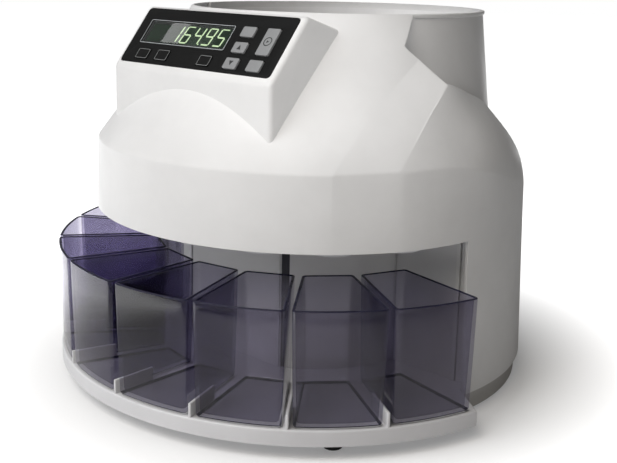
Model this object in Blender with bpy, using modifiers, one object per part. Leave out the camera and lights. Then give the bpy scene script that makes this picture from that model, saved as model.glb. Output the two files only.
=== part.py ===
"""Coin counter with a round hopper, a sorting deck and eight pull-out cups.

Run with: blender --background --python part.py
Metres, +Z up, front towards -Y, viewer's right towards +X.
Pieces are modelled about the spindle, which stands on the machine empty.
Angles are measured round the spindle from the front, positive to the right.
"""
import math

import bmesh
import bpy
from mathutils import Matrix, Vector

# Fits shared by all pieces.
CLEARANCE = 0.0003
OVERRUN = 0.02
OVERLAP = 0.0005
FACET_ROOM = 0.0005
MERGE = 0.00001

# Body of the machine.
WALL = 0.0023
WALL_R_FOOT = 0.1550
WALL_R_WAIST = 0.1519
WAIST_Z = 0.1140
WALL_FOOT_Z = 0.0163
COWL_R_EDGE = 0.1540
COWL_EDGE_Z = 0.1177
CREASE_R = 0.1522
CREASE_Z = 0.1649
BAY_HALF_ANGLE = math.radians(82.2)
BLEND_START = math.radians(60.0)
BLEND_END = math.radians(85.0)

# Collar round the hopper: a cone whose middle lies behind the spindle.
RIM_Z = 0.2545
RIM_R = 0.1047
RIM_SHIFT = 0.0237
RIM_LIP = 0.0013
RIM_LIP_HEIGHT = 0.0025
COLLAR_TAPER = 0.111

# Front fairing and the wedge facet beside it.
WEDGE_HALF_WIDTH = 0.1105
WEDGE_TOP_Z = 0.2275
WEDGE_FOOT = Vector((0.1334, -0.0713, 0.1659))
WEDGE_HEAD = Vector((0.1293, -0.0204, 0.2135))
FAIRING_NOTCH_Z = 0.2352
FAIRING_NOTCH_ANGLE = math.radians(73.3)
FAIRING_TIP_ANGLE = math.radians(81.0)
END_WALL_ANGLE = math.radians(0.8)

# Side and rear shoulder: radius and height, the rear one measured on a plane that falls rearwards.
SHOULDER_FALL = 0.26
SHOULDER_EDGE = 0.2085
SHOULDER_START = 0.1578
SIDE_PROFILE = ((0.1521, 0.1640), (0.1447, 0.1778), (0.1391, 0.1898), (0.1345, 0.2016), (0.1309, 0.2135))
REAR_PROFILE = ((0.1515, 0.1578), (0.1507, 0.1660), (0.1479, 0.1775), (0.1445, 0.1839), (0.1387, 0.1920),
                (0.1317, 0.1991), (0.1262, 0.2050), (0.1227, 0.2085))
SIDE_END = math.radians(80.0)
REAR_START = math.radians(98.0)
SHOULDER_STEP = 0.0010

# Control pod: its panel face leans back from a vertical front wall.
POD_HALF_WIDTH = 0.0743
POD_FRONT_Y = -0.1201
POD_FOOT_Z = 0.1720
POD_REAR_Y = -0.0500
POD_TOP_Y = -0.0892
POD_TOP_Z = 0.2540
POD_TOP_FALL = 0.306
POD_EDGE_RADIUS = 0.0025
POD_CAVITY_FOOT_Z = 0.1900
PANEL_TILT = math.radians(51.62)
PANEL_Y = -0.1178
PANEL_Z = 0.2184
PANEL_HALF_WIDTH = 0.0704
PANEL_LENGTH = 0.0436
PANEL_CORNER = 0.0030
POD_WALL = 0.0025

# Panel pieces, measured on the panel: across, then up the slope from its lower edge.
OVERLAY_THICKNESS = 0.0013
OVERLAY_PROUD = 0.0003
WINDOW = (-0.0606, 0.0160, 0.0203, 0.0338)
WINDOW_LEDGE = 0.0015
KEYS = {
    "key_top": (0.0289, 0.0265, 0.0403, 0.0340),
    "key_up": (0.0288, 0.0146, 0.0401, 0.0223),
    "key_down": (0.0287, 0.0028, 0.0399, 0.0106),
    "key_start": (0.0499, 0.0145, 0.0606, 0.0340),
    "key_low": (0.0490, 0.0026, 0.0603, 0.0107),
    "key_left": (-0.0566, 0.0030, -0.0448, 0.0108),
    "key_mid": (-0.0370, 0.0031, -0.0254, 0.0112),
    "key_right": (0.0042, 0.0028, 0.0153, 0.0106),
}
DARK_KEYS = ("key_left", "key_mid", "key_right")
KEY_PROUD = 0.0010
DARK_KEY_PROUD = 0.0004
KEY_FLANGE = 0.0012
KEY_FLANGE_THICKNESS = 0.0010
KEY_TRAVEL = 0.0006
KEY_CORNER = 0.0010
BOARD_THICKNESS = 0.0016
DISPLAY_BOARD_DEPTH = 0.0095
DISPLAY_BOARD_HALF_WIDTH = 0.0680
DISPLAY_BOARD_SPAN = (0.0010, 0.0385)
DISPLAY_MODULE_HEIGHT = 0.0047
SWITCH_SIZE = 0.0045
SWITCH_HEIGHT = 0.0030
PANEL_POST_R = 0.0024
PANEL_POST_U = 0.0645
PANEL_POST_S = (0.0040, 0.0365)

# Base tray.
TRAY_OVERHANG = 0.0259
TRAY_HALF_ANGLE = math.radians(77.1)
TRAY_TOP = 0.0193
TRAY_FOOT = 0.0092
BASE_SKIRT_FOOT = 0.0030
BASE_THICKNESS = 0.0025
RIB_THICKNESS = 0.0018
RIB_HEIGHT = 0.0090
RIB_REACH = 0.0309
RIB_SETBACK = 0.0006

# Cups.
CUP_COUNT = 8
CUP_PITCH = math.radians(19.14)
CUP_LENGTH = 0.0680
CUP_SETBACK = 0.0021
CUP_BULGE = 0.0034
CUP_INNER_GAP = 0.00228
CUP_OUTER_GAP = 0.00165
CUP_BULGE_SHARE = 0.75
CUP_FRONT_CORNER = 0.0030
CUP_REAR_CORNER = 0.0026
CUP_RIM_Z = 0.0922
CUP_WALL = 0.0018
CUP_DRAFT = 0.0015
CUP_FOOT_ROUND = 0.0025

# Bay wall behind the cups.
BAY_WALL = 0.0022
BAY_SIDE_Y = -0.0102
BAY_DEPTH = 0.0243
BAY_FLAT_HALF = 0.0428
BAY_END_GAP = 0.0011

# Deck with the chutes, and the sorting ring over it.
DECK_GAP = 0.0016
DECK_FOOT = 0.1195
DECK_THICKNESS = 0.0025
CHUTE_MARGIN = 0.0052
CHUTE_OUTER = 0.0163
CHUTE_WALL = 0.0015
CHUTE_DROP = 0.0065
SPACER_R = 0.0030
REAR_SPACER_ANGLES = tuple(math.radians(a) for a in (130, 180, 230))
RING_REACH = 0.0200
RING_MARGIN = 0.0040
RING_RISE = 0.0040
RING_THICKNESS = 0.0025
RING_RAIL = 0.0015
RING_RAIL_HEIGHT = 0.0060
APERTURE_SMALLEST = 0.0170
APERTURE_STEP = 0.0013
SENSOR_BOARD_WIDTH = 0.0130
SENSOR_BOARD_REACH = 0.0180
SENSOR_BOARD_HALF_ANGLE = math.radians(80.0)
SENSOR_SIZE = (0.0060, 0.0050, 0.0018)
SENSOR_INSET = 0.0030

# Spindle and its drive.
SHAFT_R = 0.0040
SHAFT_FOOT = 0.0215
SHAFT_REACH = 0.0095
SHAFT_FLANGE_R = 0.0070
SHAFT_FLANGE_THICKNESS = 0.0034
DISC_GAP = 0.0020
DISC_THICKNESS = 0.0030
DISC_BOSS_R = 0.0120
DISC_BOSS_HEIGHT = 0.0068
FINGER_COUNT = 10
FINGER_WIDTH = 0.0060
FINGER_ROOT = 0.0055
FINGER_GAP = 0.0015
FINGER_HEIGHT = 0.0032
CAP_R = 0.0170
CAP_HEIGHT = 0.0120
BEARING_R = 0.0110
BEARING_WIDTH = 0.0070
BEARING_SEAT_WALL = 0.0034
LOWER_BEARING_FOOT = 0.0241
GEAR_MODULE = 0.0020
GEAR_TEETH = 30
PINION_TEETH = 9
GEAR_FOOT = 0.0660
GEAR_THICKNESS = 0.0080
GEAR_HUB_R = 0.0090
GEAR_HUB_HEIGHT = 0.0050
GEAR_BACKLASH = 0.0003
TOOTH_ROOT_SHARE = 1.15
TOOTH_TIP_SHARE = 0.80
TOOTH_FOOT_SHARE = 0.30
TOOTH_HEAD_SHARE = 0.11
CIRCLIP_R = 0.0070
CIRCLIP_THICKNESS = 0.0010
MOTOR_R = 0.0180
MOTOR_FOOT = 0.0245
MOTOR_TOP = 0.0580
MOTOR_BOSS_R = 0.0060
MOTOR_BOSS_HEIGHT = 0.0030
MOTOR_SHAFT_R = 0.0020
MOTOR_BRACKET_THICKNESS = 0.0020
MOTOR_BRACKET_HALF = 0.0230

# Hopper bowl.
BOWL_WALL = 0.0020
BOWL_RISE = 0.0085
BOWL_FOOT_INSET = 0.0065
BOWL_TOP_Z = 0.2500

# Screws, posts and feet.
FOOT_R = 0.0060
FOOT_BOSS_R = 0.0080
FOOT_RECESS_R = 0.0034
FOOT_RECESS_DEPTH = 0.0040
FRONT_FOOT_INSET = 0.0194
FRONT_FOOT_ANGLE = math.radians(47.6)
REAR_FOOT_INSET = 0.0219
REAR_FOOT_ANGLE = math.radians(142.0)
SCREW_R = 0.0015
SCREW_HEAD_R = 0.0028
SCREW_HEAD_HEIGHT = 0.0020
SCREW_LENGTH = 0.0120
BODY_SCREW_INSET = 0.0057
BODY_BOSS_R = 0.0068
BODY_BOSS_TOP = 0.0450
BODY_SCREW_ANGLES = tuple(math.radians(a) for a in (92, 122, 152))
DECK_POST_R = 0.0050
DECK_POSTS = ((0.0700, -0.0300), (0.0600, 0.1000))
BOARD_STANDOFF_R = 0.0030
BOARD_STANDOFF_HEIGHT = 0.0060
BOARD_INSET = 0.0050

# Rear panel and what it carries.
REAR_HALF_WIDTH = 0.0450
REAR_TOP_Z = 0.0663
REAR_SILL_Z = 0.0240
REAR_PANEL_INSET = 0.0085
REAR_PANEL_THICKNESS = 0.0020
PORT_Z = 0.0430
PORT_FLANGE = 0.0020
PORT_LIP = 0.0020
INLET = {"x": -0.0290, "width": 0.0240, "height": 0.0180, "depth": 0.0200, "bore": 0.0140}
SWITCH = {"x": -0.0040, "width": 0.0125, "height": 0.0190, "depth": 0.0140}
DISPLAY_PORT = {"x": 0.0150, "width": 0.0130, "height": 0.0120, "depth": 0.0150, "bore": 0.0110}
SERIAL_PORT = {"x": 0.0330, "width": 0.0130, "height": 0.0120, "depth": 0.0150, "bore": 0.0110}
PORT_WALL = 0.0015
PIN_HALF = 0.0010
PIN_OFFSET = 0.0048
ROCKER_GAP = 0.0008
ROCKER_CROWN = 0.0022
ROCKER_DEPTH = 0.0050

# Boards and the power supply in the base.
MAIN_BOARD = (0.0450, 0.0030, 0.1190, 0.0700)
POWER_BOARD = (-0.1150, 0.0030, -0.0450, 0.0650)
MAIN_CHIPS = ((0.0700, 0.0350, 0.0160, 0.0160, 0.0030), (0.0980, 0.0300, 0.0100, 0.0180, 0.0040),
              (0.0820, 0.0580, 0.0240, 0.0080, 0.0090))
TRANSFORMER = (-0.0900, 0.0340, 0.0340, 0.0280, 0.0300)
TRANSFORMER_COIL = (0.0220, 0.0400, 0.0200)
CAPACITOR_R = 0.0080
CAPACITOR_HEIGHT = 0.0220
CAPACITOR_AT = (-0.0600, 0.0160)

# Counts that set how smooth a round piece is.
ROUND_COUNT = 24
SMALL_ROUND_COUNT = 12
POST_ROUND_COUNT = 8
WIDE_ROUND_COUNT = 40
ARC_STEP_COUNT = 24
BISECTION_COUNT = 40
FAIRING_COLUMN_COUNT = 6
WEDGE_COLUMN_COUNT = 2
SHOULDER_COLUMN_COUNT = 13
SLOPE_ROW_COUNT = 5
COLLAR_ROW_COUNT = 2
WALL_ROW_COUNT = 2
CUP_STEP_COUNTS = (2, 1, 2, 1, 1)
KEY_STEP_COUNT = 1

# Colours.
WHITE = (0.80, 0.80, 0.83)
LIGHT_GREY = (0.55, 0.56, 0.58)
BLACK = (0.02, 0.02, 0.025)
RUBBER = (0.03, 0.03, 0.03)
CUP_BLUE = (0.16, 0.18, 0.30)
KEY_GREY = (0.36, 0.38, 0.42)
STEEL = (0.62, 0.62, 0.64)
ZINC = (0.50, 0.50, 0.52)
BRASS = (0.70, 0.52, 0.24)
BOARD_GREEN = (0.03, 0.20, 0.09)
GLASS_GREY = (0.05, 0.06, 0.06)
COPPER = (0.60, 0.28, 0.12)
ACETAL = (0.85, 0.84, 0.80)

# Values worked out from the ones above.
BASE_R = WALL_R_FOOT - WALL - CLEARANCE - FACET_ROOM
BODY_SCREW_R = BASE_R - BODY_SCREW_INSET
TRAY_R = WALL_R_FOOT + TRAY_OVERHANG
RIB_INNER_R = TRAY_R - RIB_REACH
FRONT_FOOT_R = TRAY_R - FRONT_FOOT_INSET
REAR_FOOT_R = BASE_R - REAR_FOOT_INSET
REAR_PANEL_Y = WALL_R_WAIST - REAR_PANEL_INSET
CUP_OUTER_R = TRAY_R - CUP_SETBACK
CUP_INNER_R = CUP_OUTER_R - CUP_LENGTH
CUP_OUTER_HALF = CUP_OUTER_R * math.tan(CUP_PITCH / 2) - CUP_OUTER_GAP
CUP_INNER_HALF = CUP_INNER_R * math.tan(CUP_PITCH / 2) - CUP_INNER_GAP
CUP_BULGE_R = CUP_BULGE_SHARE * CUP_OUTER_HALF * CUP_OUTER_HALF / CUP_BULGE
BAY_BACK_R = CUP_INNER_R - BAY_DEPTH
BAY_END_X = WALL_R_WAIST - WALL - BAY_END_GAP
DECK_R = WALL_R_WAIST - WALL - DECK_GAP
CHUTE_R = DECK_R - CHUTE_MARGIN - CHUTE_OUTER
RING_INNER_R = CHUTE_R - RING_REACH
RING_OUTER_R = DECK_R - RING_MARGIN
SENSOR_BOARD_OUTER_R = CHUTE_R - SENSOR_BOARD_REACH
SENSOR_BOARD_INNER_R = SENSOR_BOARD_OUTER_R - SENSOR_BOARD_WIDTH
SENSOR_R = SENSOR_BOARD_OUTER_R - SENSOR_INSET
DISC_R = RING_INNER_R - DISC_GAP
FINGER_INNER_R = DISC_R - FINGER_ROOT
FINGER_OUTER_R = RING_OUTER_R - RING_RAIL - FINGER_GAP
BOWL_FOOT_R = DISC_R - BOWL_FOOT_INSET
CUP_FOOT = TRAY_TOP + CLEARANCE
DECK_TOP = DECK_FOOT + DECK_THICKNESS
CHUTE_FOOT = DECK_FOOT - CHUTE_DROP
RING_FOOT = DECK_TOP + RING_RISE
SHAFT_TOP = RING_FOOT + SHAFT_REACH
BOWL_FOOT_Z = RING_FOOT + BOWL_RISE
RING_TOP = RING_FOOT + RING_THICKNESS
DISC_FOOT = RING_FOOT
DISC_TOP = DISC_FOOT + DISC_THICKNESS
LOFT_TOP = RIM_Z - OVERLAP
GEAR_PITCH_R = GEAR_MODULE * GEAR_TEETH / 2
PINION_PITCH_R = GEAR_MODULE * PINION_TEETH / 2
MOTOR_Y = GEAR_PITCH_R + PINION_PITCH_R + GEAR_BACKLASH
UPPER_BEARING_FOOT = DECK_TOP - BEARING_WIDTH - CLEARANCE
SEAT_R = BEARING_R + BEARING_SEAT_WALL
BAY_TOP = DECK_FOOT - CLEARANCE
BOWL_TOP_R = RIM_R - RIM_LIP + COLLAR_TAPER * (RIM_Z - BOWL_TOP_Z) - WALL - CLEARANCE
CUP_ANGLES = tuple((i - (CUP_COUNT - 1) / 2) * CUP_PITCH for i in range(CUP_COUNT))


def around(radius, angle, z=0.0):
    """Point at a radius and an angle from the front, round the spindle."""
    return Vector((radius * math.sin(angle), -radius * math.cos(angle), z))


def lerp(a, b, t):
    return a + (b - a) * t


def smooth_step(a, b, x):
    t = min(max((x - a) / (b - a), 0.0), 1.0)
    return t * t * (3 - 2 * t)


# ---- Objects, materials and shapes

def clear_scene():
    for old in list(bpy.data.objects):
        bpy.data.objects.remove(old, do_unlink=True)


def new_collection(name):
    collection = bpy.data.collections.new(name)
    bpy.context.scene.collection.children.link(collection)
    return collection


clear_scene()
PARTS = new_collection("coin_counter")
CUTTERS = new_collection("coin_counter_cutters")


def add_empty(name, location, rotation=(0.0, 0.0, 0.0), parent=None):
    empty = bpy.data.objects.new(name, None)
    empty.location = location
    empty.rotation_euler = rotation
    empty.parent = parent
    PARTS.objects.link(empty)
    return empty


def paint(obj, colour, roughness, metallic=0.0, alpha=1.0):
    material = bpy.data.materials.new(obj.name)
    material.use_nodes = True
    shader = material.node_tree.nodes["Principled BSDF"]
    shader.inputs["Base Color"].default_value = (*colour, 1.0)
    shader.inputs["Roughness"].default_value = roughness
    shader.inputs["Metallic"].default_value = metallic
    shader.inputs["Alpha"].default_value = alpha
    material.diffuse_color = (*colour, alpha)
    obj.data.materials.append(material)
    return obj


def make(name, mesh, parent):
    obj = bpy.data.objects.new(name, mesh)
    obj.parent = parent
    PARTS.objects.link(obj)
    return obj


def from_bmesh(name, bm):
    bmesh.ops.recalc_face_normals(bm, faces=bm.faces)
    if bm.calc_volume(signed=True) < 0.0:
        bmesh.ops.reverse_faces(bm, faces=bm.faces)
    mesh = bpy.data.meshes.new(name)
    bm.to_mesh(mesh)
    bm.free()
    return mesh


def box_mesh(x0, y0, z0, x1, y1, z1):
    bm = bmesh.new()
    size = Matrix.Diagonal((x1 - x0, y1 - y0, z1 - z0, 1.0))
    middle = Matrix.Translation(((x0 + x1) / 2, (y0 + y1) / 2, (z0 + z1) / 2))
    bmesh.ops.create_cube(bm, size=1.0, matrix=middle @ size)
    return from_bmesh("box", bm)


def rod_mesh(radius, z0, z1, at=(0.0, 0.0), segments=ROUND_COUNT, top_radius=None):
    bm = bmesh.new()
    bmesh.ops.create_cone(bm, cap_ends=True, segments=segments, radius1=radius,
                          radius2=radius if top_radius is None else top_radius, depth=z1 - z0,
                          matrix=Matrix.Translation((at[0], at[1], (z0 + z1) / 2)))
    return from_bmesh("rod", bm)


def slab_mesh(outlines, z0, z1):
    """Flat plate between two heights, with the first outline as its edge and the rest as holes."""
    curve = bpy.data.curves.new("outline", "CURVE")
    curve.dimensions = "2D"
    curve.fill_mode = "BOTH"
    curve.extrude = (z1 - z0) / 2
    for outline in outlines:
        spline = curve.splines.new("POLY")
        spline.points.add(len(outline) - 1)
        for point, (x, y) in zip(spline.points, outline):
            point.co = (x, y, 0.0, 1.0)
        spline.use_cyclic_u = True
    holder = bpy.data.objects.new("outline", curve)
    CUTTERS.objects.link(holder)
    depsgraph = bpy.context.evaluated_depsgraph_get()
    mesh = bpy.data.meshes.new_from_object(holder.evaluated_get(depsgraph))
    bpy.data.objects.remove(holder, do_unlink=True)
    bm = bmesh.new()
    bm.from_mesh(mesh)
    bmesh.ops.remove_doubles(bm, verts=bm.verts, dist=MERGE)
    bmesh.ops.translate(bm, verts=bm.verts, vec=(0.0, 0.0, (z0 + z1) / 2))
    bpy.data.meshes.remove(mesh)
    return from_bmesh("slab", bm)


def loft_mesh(rings, closed_loop=False):
    """Skin over rings of points; the ends are capped, or joined to each other."""
    bm = bmesh.new()
    rows = [[bm.verts.new(p) for p in ring] for ring in rings]
    count = len(rows[0])
    pairs = list(zip(rows, rows[1:]))
    if closed_loop:
        pairs.append((rows[-1], rows[0]))
    for low, high in pairs:
        for i in range(count):
            j = (i + 1) % count
            bm.faces.new((low[i], low[j], high[j], high[i]))
    if not closed_loop:
        bm.faces.new(rows[0][::-1])
        bm.faces.new(rows[-1])
    return from_bmesh("loft", bm)


def triangulated(mesh):
    """The mesh with every face flat."""
    bm = bmesh.new()
    bm.from_mesh(mesh)
    bmesh.ops.triangulate(bm, faces=bm.faces)
    bm.to_mesh(mesh)
    bm.free()
    return mesh


def joined(meshes):
    """One mesh of several closed bodies that don't touch."""
    bm = bmesh.new()
    for mesh in meshes:
        bm.from_mesh(mesh)
        bpy.data.meshes.remove(mesh)
    mesh = bpy.data.meshes.new("joined")
    bm.to_mesh(mesh)
    bm.free()
    return mesh


def moved(mesh, matrix):
    mesh.transform(matrix)
    return mesh


def combine(obj, mesh, operation, like=None):
    """Add or cut a mesh, given in the object's own frame, with a live boolean."""
    cutter = bpy.data.objects.new(obj.name + "_" + operation.lower(), mesh)
    cutter.parent = like or obj.parent
    if like is None:
        cutter.location = obj.location
        cutter.rotation_euler = obj.rotation_euler
    cutter.hide_render = True
    cutter.display_type = "WIRE"
    CUTTERS.objects.link(cutter)
    modifier = obj.modifiers.new(operation.title(), "BOOLEAN")
    modifier.operation = operation
    modifier.solver = "EXACT"
    modifier.object = cutter
    return modifier


def add(obj, mesh, like=None):
    return combine(obj, mesh, "UNION", like)


def cut(obj, mesh, like=None):
    return combine(obj, mesh, "DIFFERENCE", like)


def shade_round(obj):
    for polygon in obj.data.polygons:
        polygon.use_smooth = True
    return obj


def soften(obj, width, segments=2):
    modifier = obj.modifiers.new("Bevel", "BEVEL")
    modifier.width = width
    modifier.segments = segments
    modifier.limit_method = "ANGLE"
    modifier.angle_limit = math.radians(40.0)
    return obj


def arc(radius, start, end, steps, centre_y=0.0):
    points = [around(radius, lerp(start, end, i / steps)) for i in range(steps + 1)]
    return [(p.x, p.y + centre_y) for p in points]


def circle(radius, at=(0.0, 0.0), segments=ROUND_COUNT):
    turn = 2 * math.pi / segments
    return [(at[0] + radius * math.cos(i * turn), at[1] + radius * math.sin(i * turn)) for i in range(segments)]


def rounded(corners, radii, step_counts):
    """Outline through the corners with a round of its own radius at each."""
    outline = []
    count = len(corners)
    for i, (radius, steps) in enumerate(zip(radii, step_counts)):
        here = Vector(corners[i])
        back = (Vector(corners[i - 1]) - here).normalized()
        ahead = (Vector(corners[(i + 1) % count]) - here).normalized()
        half = back.angle(ahead) / 2
        reach = radius / math.tan(half)
        middle = here + (back + ahead).normalized() * (radius / math.sin(half))
        first = here + back * reach - middle
        last = here + ahead * reach - middle
        sweep = first.angle_signed(last)
        for k in range(steps + 1):
            point = first.copy()
            point.rotate(Matrix.Rotation(-sweep * k / steps, 2))
            outline.append(tuple(middle + point))
    return outline


def moved_in(corners, inset):
    """The corners of a shape that runs anticlockwise, each side moved inwards by as much."""
    result = []
    for i, corner in enumerate(corners):
        here = Vector(corner)
        before = (here - Vector(corners[i - 1])).normalized()
        after = (Vector(corners[(i + 1) % len(corners)]) - here).normalized()
        normals = Vector((-before.y, before.x)), Vector((-after.y, after.x))
        result.append(here + (normals[0] + normals[1]) * inset / (1.0 + normals[0].dot(normals[1])))
    return result


def rounded_box(x0, y0, x1, y1, radius):
    return rounded(((x0, y0), (x1, y0), (x1, y1), (x0, y1)), (radius,) * 4, (KEY_STEP_COUNT,) * 4)


def screw_mesh(at, head_z):
    """Screw with its head below and its shank upwards."""
    neck = head_z + SCREW_HEAD_HEIGHT
    outline = ((SCREW_HEAD_R, head_z), (SCREW_HEAD_R, neck), (SCREW_R, neck), (SCREW_R, neck + SCREW_LENGTH))
    return loft_mesh([[(at[0] + r * math.cos(a), at[1] + r * math.sin(a), z) for a in turn_angles(POST_ROUND_COUNT)]
                      for r, z in outline])


def turn_angles(count):
    return [2 * math.pi * i / count for i in range(count)]


# ---- The outer form of the housing, shared with its inner face

def rim_radius(angle, radius):
    """Distance from the spindle to a circle whose middle lies behind it."""
    along = RIM_SHIFT * math.cos(angle)
    return -along + math.sqrt(along * along + radius * radius - RIM_SHIFT * RIM_SHIFT)


def fairing_radius(angle, z):
    t = (z - CREASE_Z) / (RIM_Z - CREASE_Z)
    return lerp(CREASE_R, rim_radius(angle, RIM_R), t)


def collar_radius(angle, z):
    return rim_radius(angle, RIM_R - RIM_LIP + COLLAR_TAPER * (RIM_Z - z))


def from_profile(profile, height):
    """Radius on a profile of radius and height, straight between its points."""
    for (r0, z0), (r1, z1) in zip(profile, profile[1:]):
        if height <= z1:
            return lerp(r0, r1, max(height - z0, 0.0) / (z1 - z0))
    return profile[-1][0]


def shoulder_radius(angle, z):
    rear = smooth_step(SIDE_END, REAR_START, angle)
    side_radius = from_profile(SIDE_PROFILE, z)
    fall = -SHOULDER_FALL * side_radius * math.cos(angle)
    rear_radius = from_profile(REAR_PROFILE, z + fall)
    return lerp(side_radius, rear_radius, rear)


def shoulder_start(angle):
    """Height at which the wall turns into the shoulder."""
    rear = smooth_step(BLEND_START, REAR_START, angle)
    return lerp(CREASE_Z, SHOULDER_START + SHOULDER_FALL * WALL_R_WAIST * math.cos(angle), rear)


def shoulder_end(angle):
    """Height of the shoulder's upper edge: its tilted plane, or the collar where that comes first."""
    z = SHOULDER_EDGE + SHOULDER_FALL * SIDE_PROFILE[-1][0] * math.cos(angle)
    start = shoulder_start(angle)
    while z > start and shoulder_radius(angle, z) < collar_radius(angle, z) + SHOULDER_STEP:
        z -= SHOULDER_STEP
    return z


def wall_radius(angle, z):
    rear = smooth_step(BLEND_START, BLEND_END, angle)
    front_radius = lerp(COWL_R_EDGE, CREASE_R, (z - COWL_EDGE_Z) / (CREASE_Z - COWL_EDGE_Z))
    low = lerp(WALL_R_FOOT, WALL_R_WAIST, (z - WALL_FOOT_Z) / (WAIST_Z - WALL_FOOT_Z))
    high = lerp(WALL_R_WAIST, SIDE_PROFILE[0][0], (z - WAIST_Z) / (CREASE_Z - WAIST_Z))
    rear_radius = low if z < WAIST_Z else high
    return lerp(front_radius, rear_radius, rear)


def wedge_angle(z):
    """Angle at which the fairing reaches the wedge's half width."""
    low = math.radians(30.0)
    high = math.radians(89.0)
    for _ in range(BISECTION_COUNT):
        middle = (low + high) / 2
        if fairing_radius(middle, z) * math.sin(middle) < WEDGE_HALF_WIDTH:
            low = middle
        else:
            high = middle
    return low


def fairing_edge_angle(z):
    """Where the fairing stops at the right: along the wedge, then along its own end."""
    if z <= WEDGE_TOP_Z:
        return wedge_angle(z)
    if z <= FAIRING_NOTCH_Z:
        t = (z - WEDGE_TOP_Z) / (FAIRING_NOTCH_Z - WEDGE_TOP_Z)
        return lerp(wedge_angle(WEDGE_TOP_Z), FAIRING_NOTCH_ANGLE, t)
    t = (z - FAIRING_NOTCH_Z) / (RIM_Z - FAIRING_NOTCH_Z)
    return lerp(FAIRING_NOTCH_ANGLE, FAIRING_TIP_ANGLE, t)


def half_row(row, inset):
    """Points of one ring on the right half, front to back, moved in by the wall where that is wanted."""
    collar_row = WALL_ROW_COUNT + SLOPE_ROW_COUNT + 1
    on_wall = row < WALL_ROW_COUNT
    on_collar = row >= collar_row
    t = min(max((row - WALL_ROW_COUNT) / SLOPE_ROW_COUNT, 0.0), 1.0)
    u = max((row - collar_row) / COLLAR_ROW_COUNT, 0.0)
    u_front = (row - collar_row + 1) / (COLLAR_ROW_COUNT + 1)
    z_wall = (WALL_FOOT_Z, WAIST_Z, CREASE_Z)[min(row, WALL_ROW_COUNT)]
    z_front = z_wall if on_wall else lerp(CREASE_Z, WEDGE_TOP_Z, t)
    if on_collar:
        z_front = lerp(WEDGE_TOP_Z, LOFT_TOP, u_front)
    edge = fairing_edge_angle(max(z_front, CREASE_Z))
    if on_collar:
        edge -= inset / RIM_R
    points = []
    for i in range(FAIRING_COLUMN_COUNT + 1):
        angle = edge * i / FAIRING_COLUMN_COUNT
        radius = wall_radius(angle, z_front) if on_wall else fairing_radius(angle, z_front)
        points.append(around(radius, angle, z_front))
    left = points[-1]
    right = WEDGE_FOOT.lerp(WEDGE_HEAD, t)
    right_angle = math.atan2(right.x, -right.y)
    next_angle = lerp(right_angle, math.pi, 1 / SHOULDER_COLUMN_COUNT)
    for i in range(1, WEDGE_COLUMN_COUNT + 1):
        share = i / WEDGE_COLUMN_COUNT
        if on_wall:
            angle = lerp(edge, right_angle, share)
            points.append(around(wall_radius(angle, z_wall), angle, z_wall))
        elif on_collar:
            angle = lerp(edge + END_WALL_ANGLE, next_angle, (i - 1) / WEDGE_COLUMN_COUNT)
            z = lerp(z_front, lerp(right.z, LOFT_TOP, u), share)
            points.append(around(collar_radius(angle, z), angle, z))
        else:
            points.append(left.lerp(right, share))
    for i in range(1, SHOULDER_COLUMN_COUNT + 1):
        angle = lerp(right_angle, math.pi, i / SHOULDER_COLUMN_COUNT)
        end = shoulder_end(angle)
        if on_wall:
            points.append(around(wall_radius(angle, z_wall), angle, z_wall))
        elif on_collar:
            z = lerp(end, LOFT_TOP, u)
            points.append(around(collar_radius(angle, z), angle, z))
        else:
            z = lerp(shoulder_start(angle), end, t)
            points.append(around(shoulder_radius(angle, z), angle, z))
    drop = inset if WALL_ROW_COUNT < row <= collar_row else 0.0
    for point in points:
        flat = Vector((point.x, point.y, 0.0))
        point.xy = (flat - flat.normalized() * inset).xy
        point.z -= drop
    return points


def full_ring(half):
    """Ring from a right half: the left half is its mirror image."""
    left = [Vector((-p.x, p.y, p.z)) for p in half[-2:0:-1]]
    return half + left


def body_rings(inset):
    count = WALL_ROW_COUNT + SLOPE_ROW_COUNT + COLLAR_ROW_COUNT + 2
    return [full_ring(half_row(row, inset)) for row in range(count)]


def shifted(ring, dz):
    return [Vector((p.x, p.y, p.z + dz)) for p in ring]


# ---- The pieces

def panel_point(u, s, h=0.0):
    return PANEL_MATRIX @ Vector((u, s, h))


def panel_box(u0, s0, h0, u1, s1, h1):
    return moved(box_mesh(u0, s0, h0, u1, s1, h1), PANEL_MATRIX)


def panel_slab(outlines, h0, h1):
    return moved(slab_mesh(outlines, h0, h1), PANEL_MATRIX)


def grown(rect, by):
    x0, y0, x1, y1 = rect
    return (x0 - by, y0 - by, x1 + by, y1 + by)


def side_prism(profile, half_width):
    """Solid of one profile of depth and height, the same across its whole width."""
    return loft_mesh([[(x, y, z) for y, z in profile] for x in (-half_width, half_width)])


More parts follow.
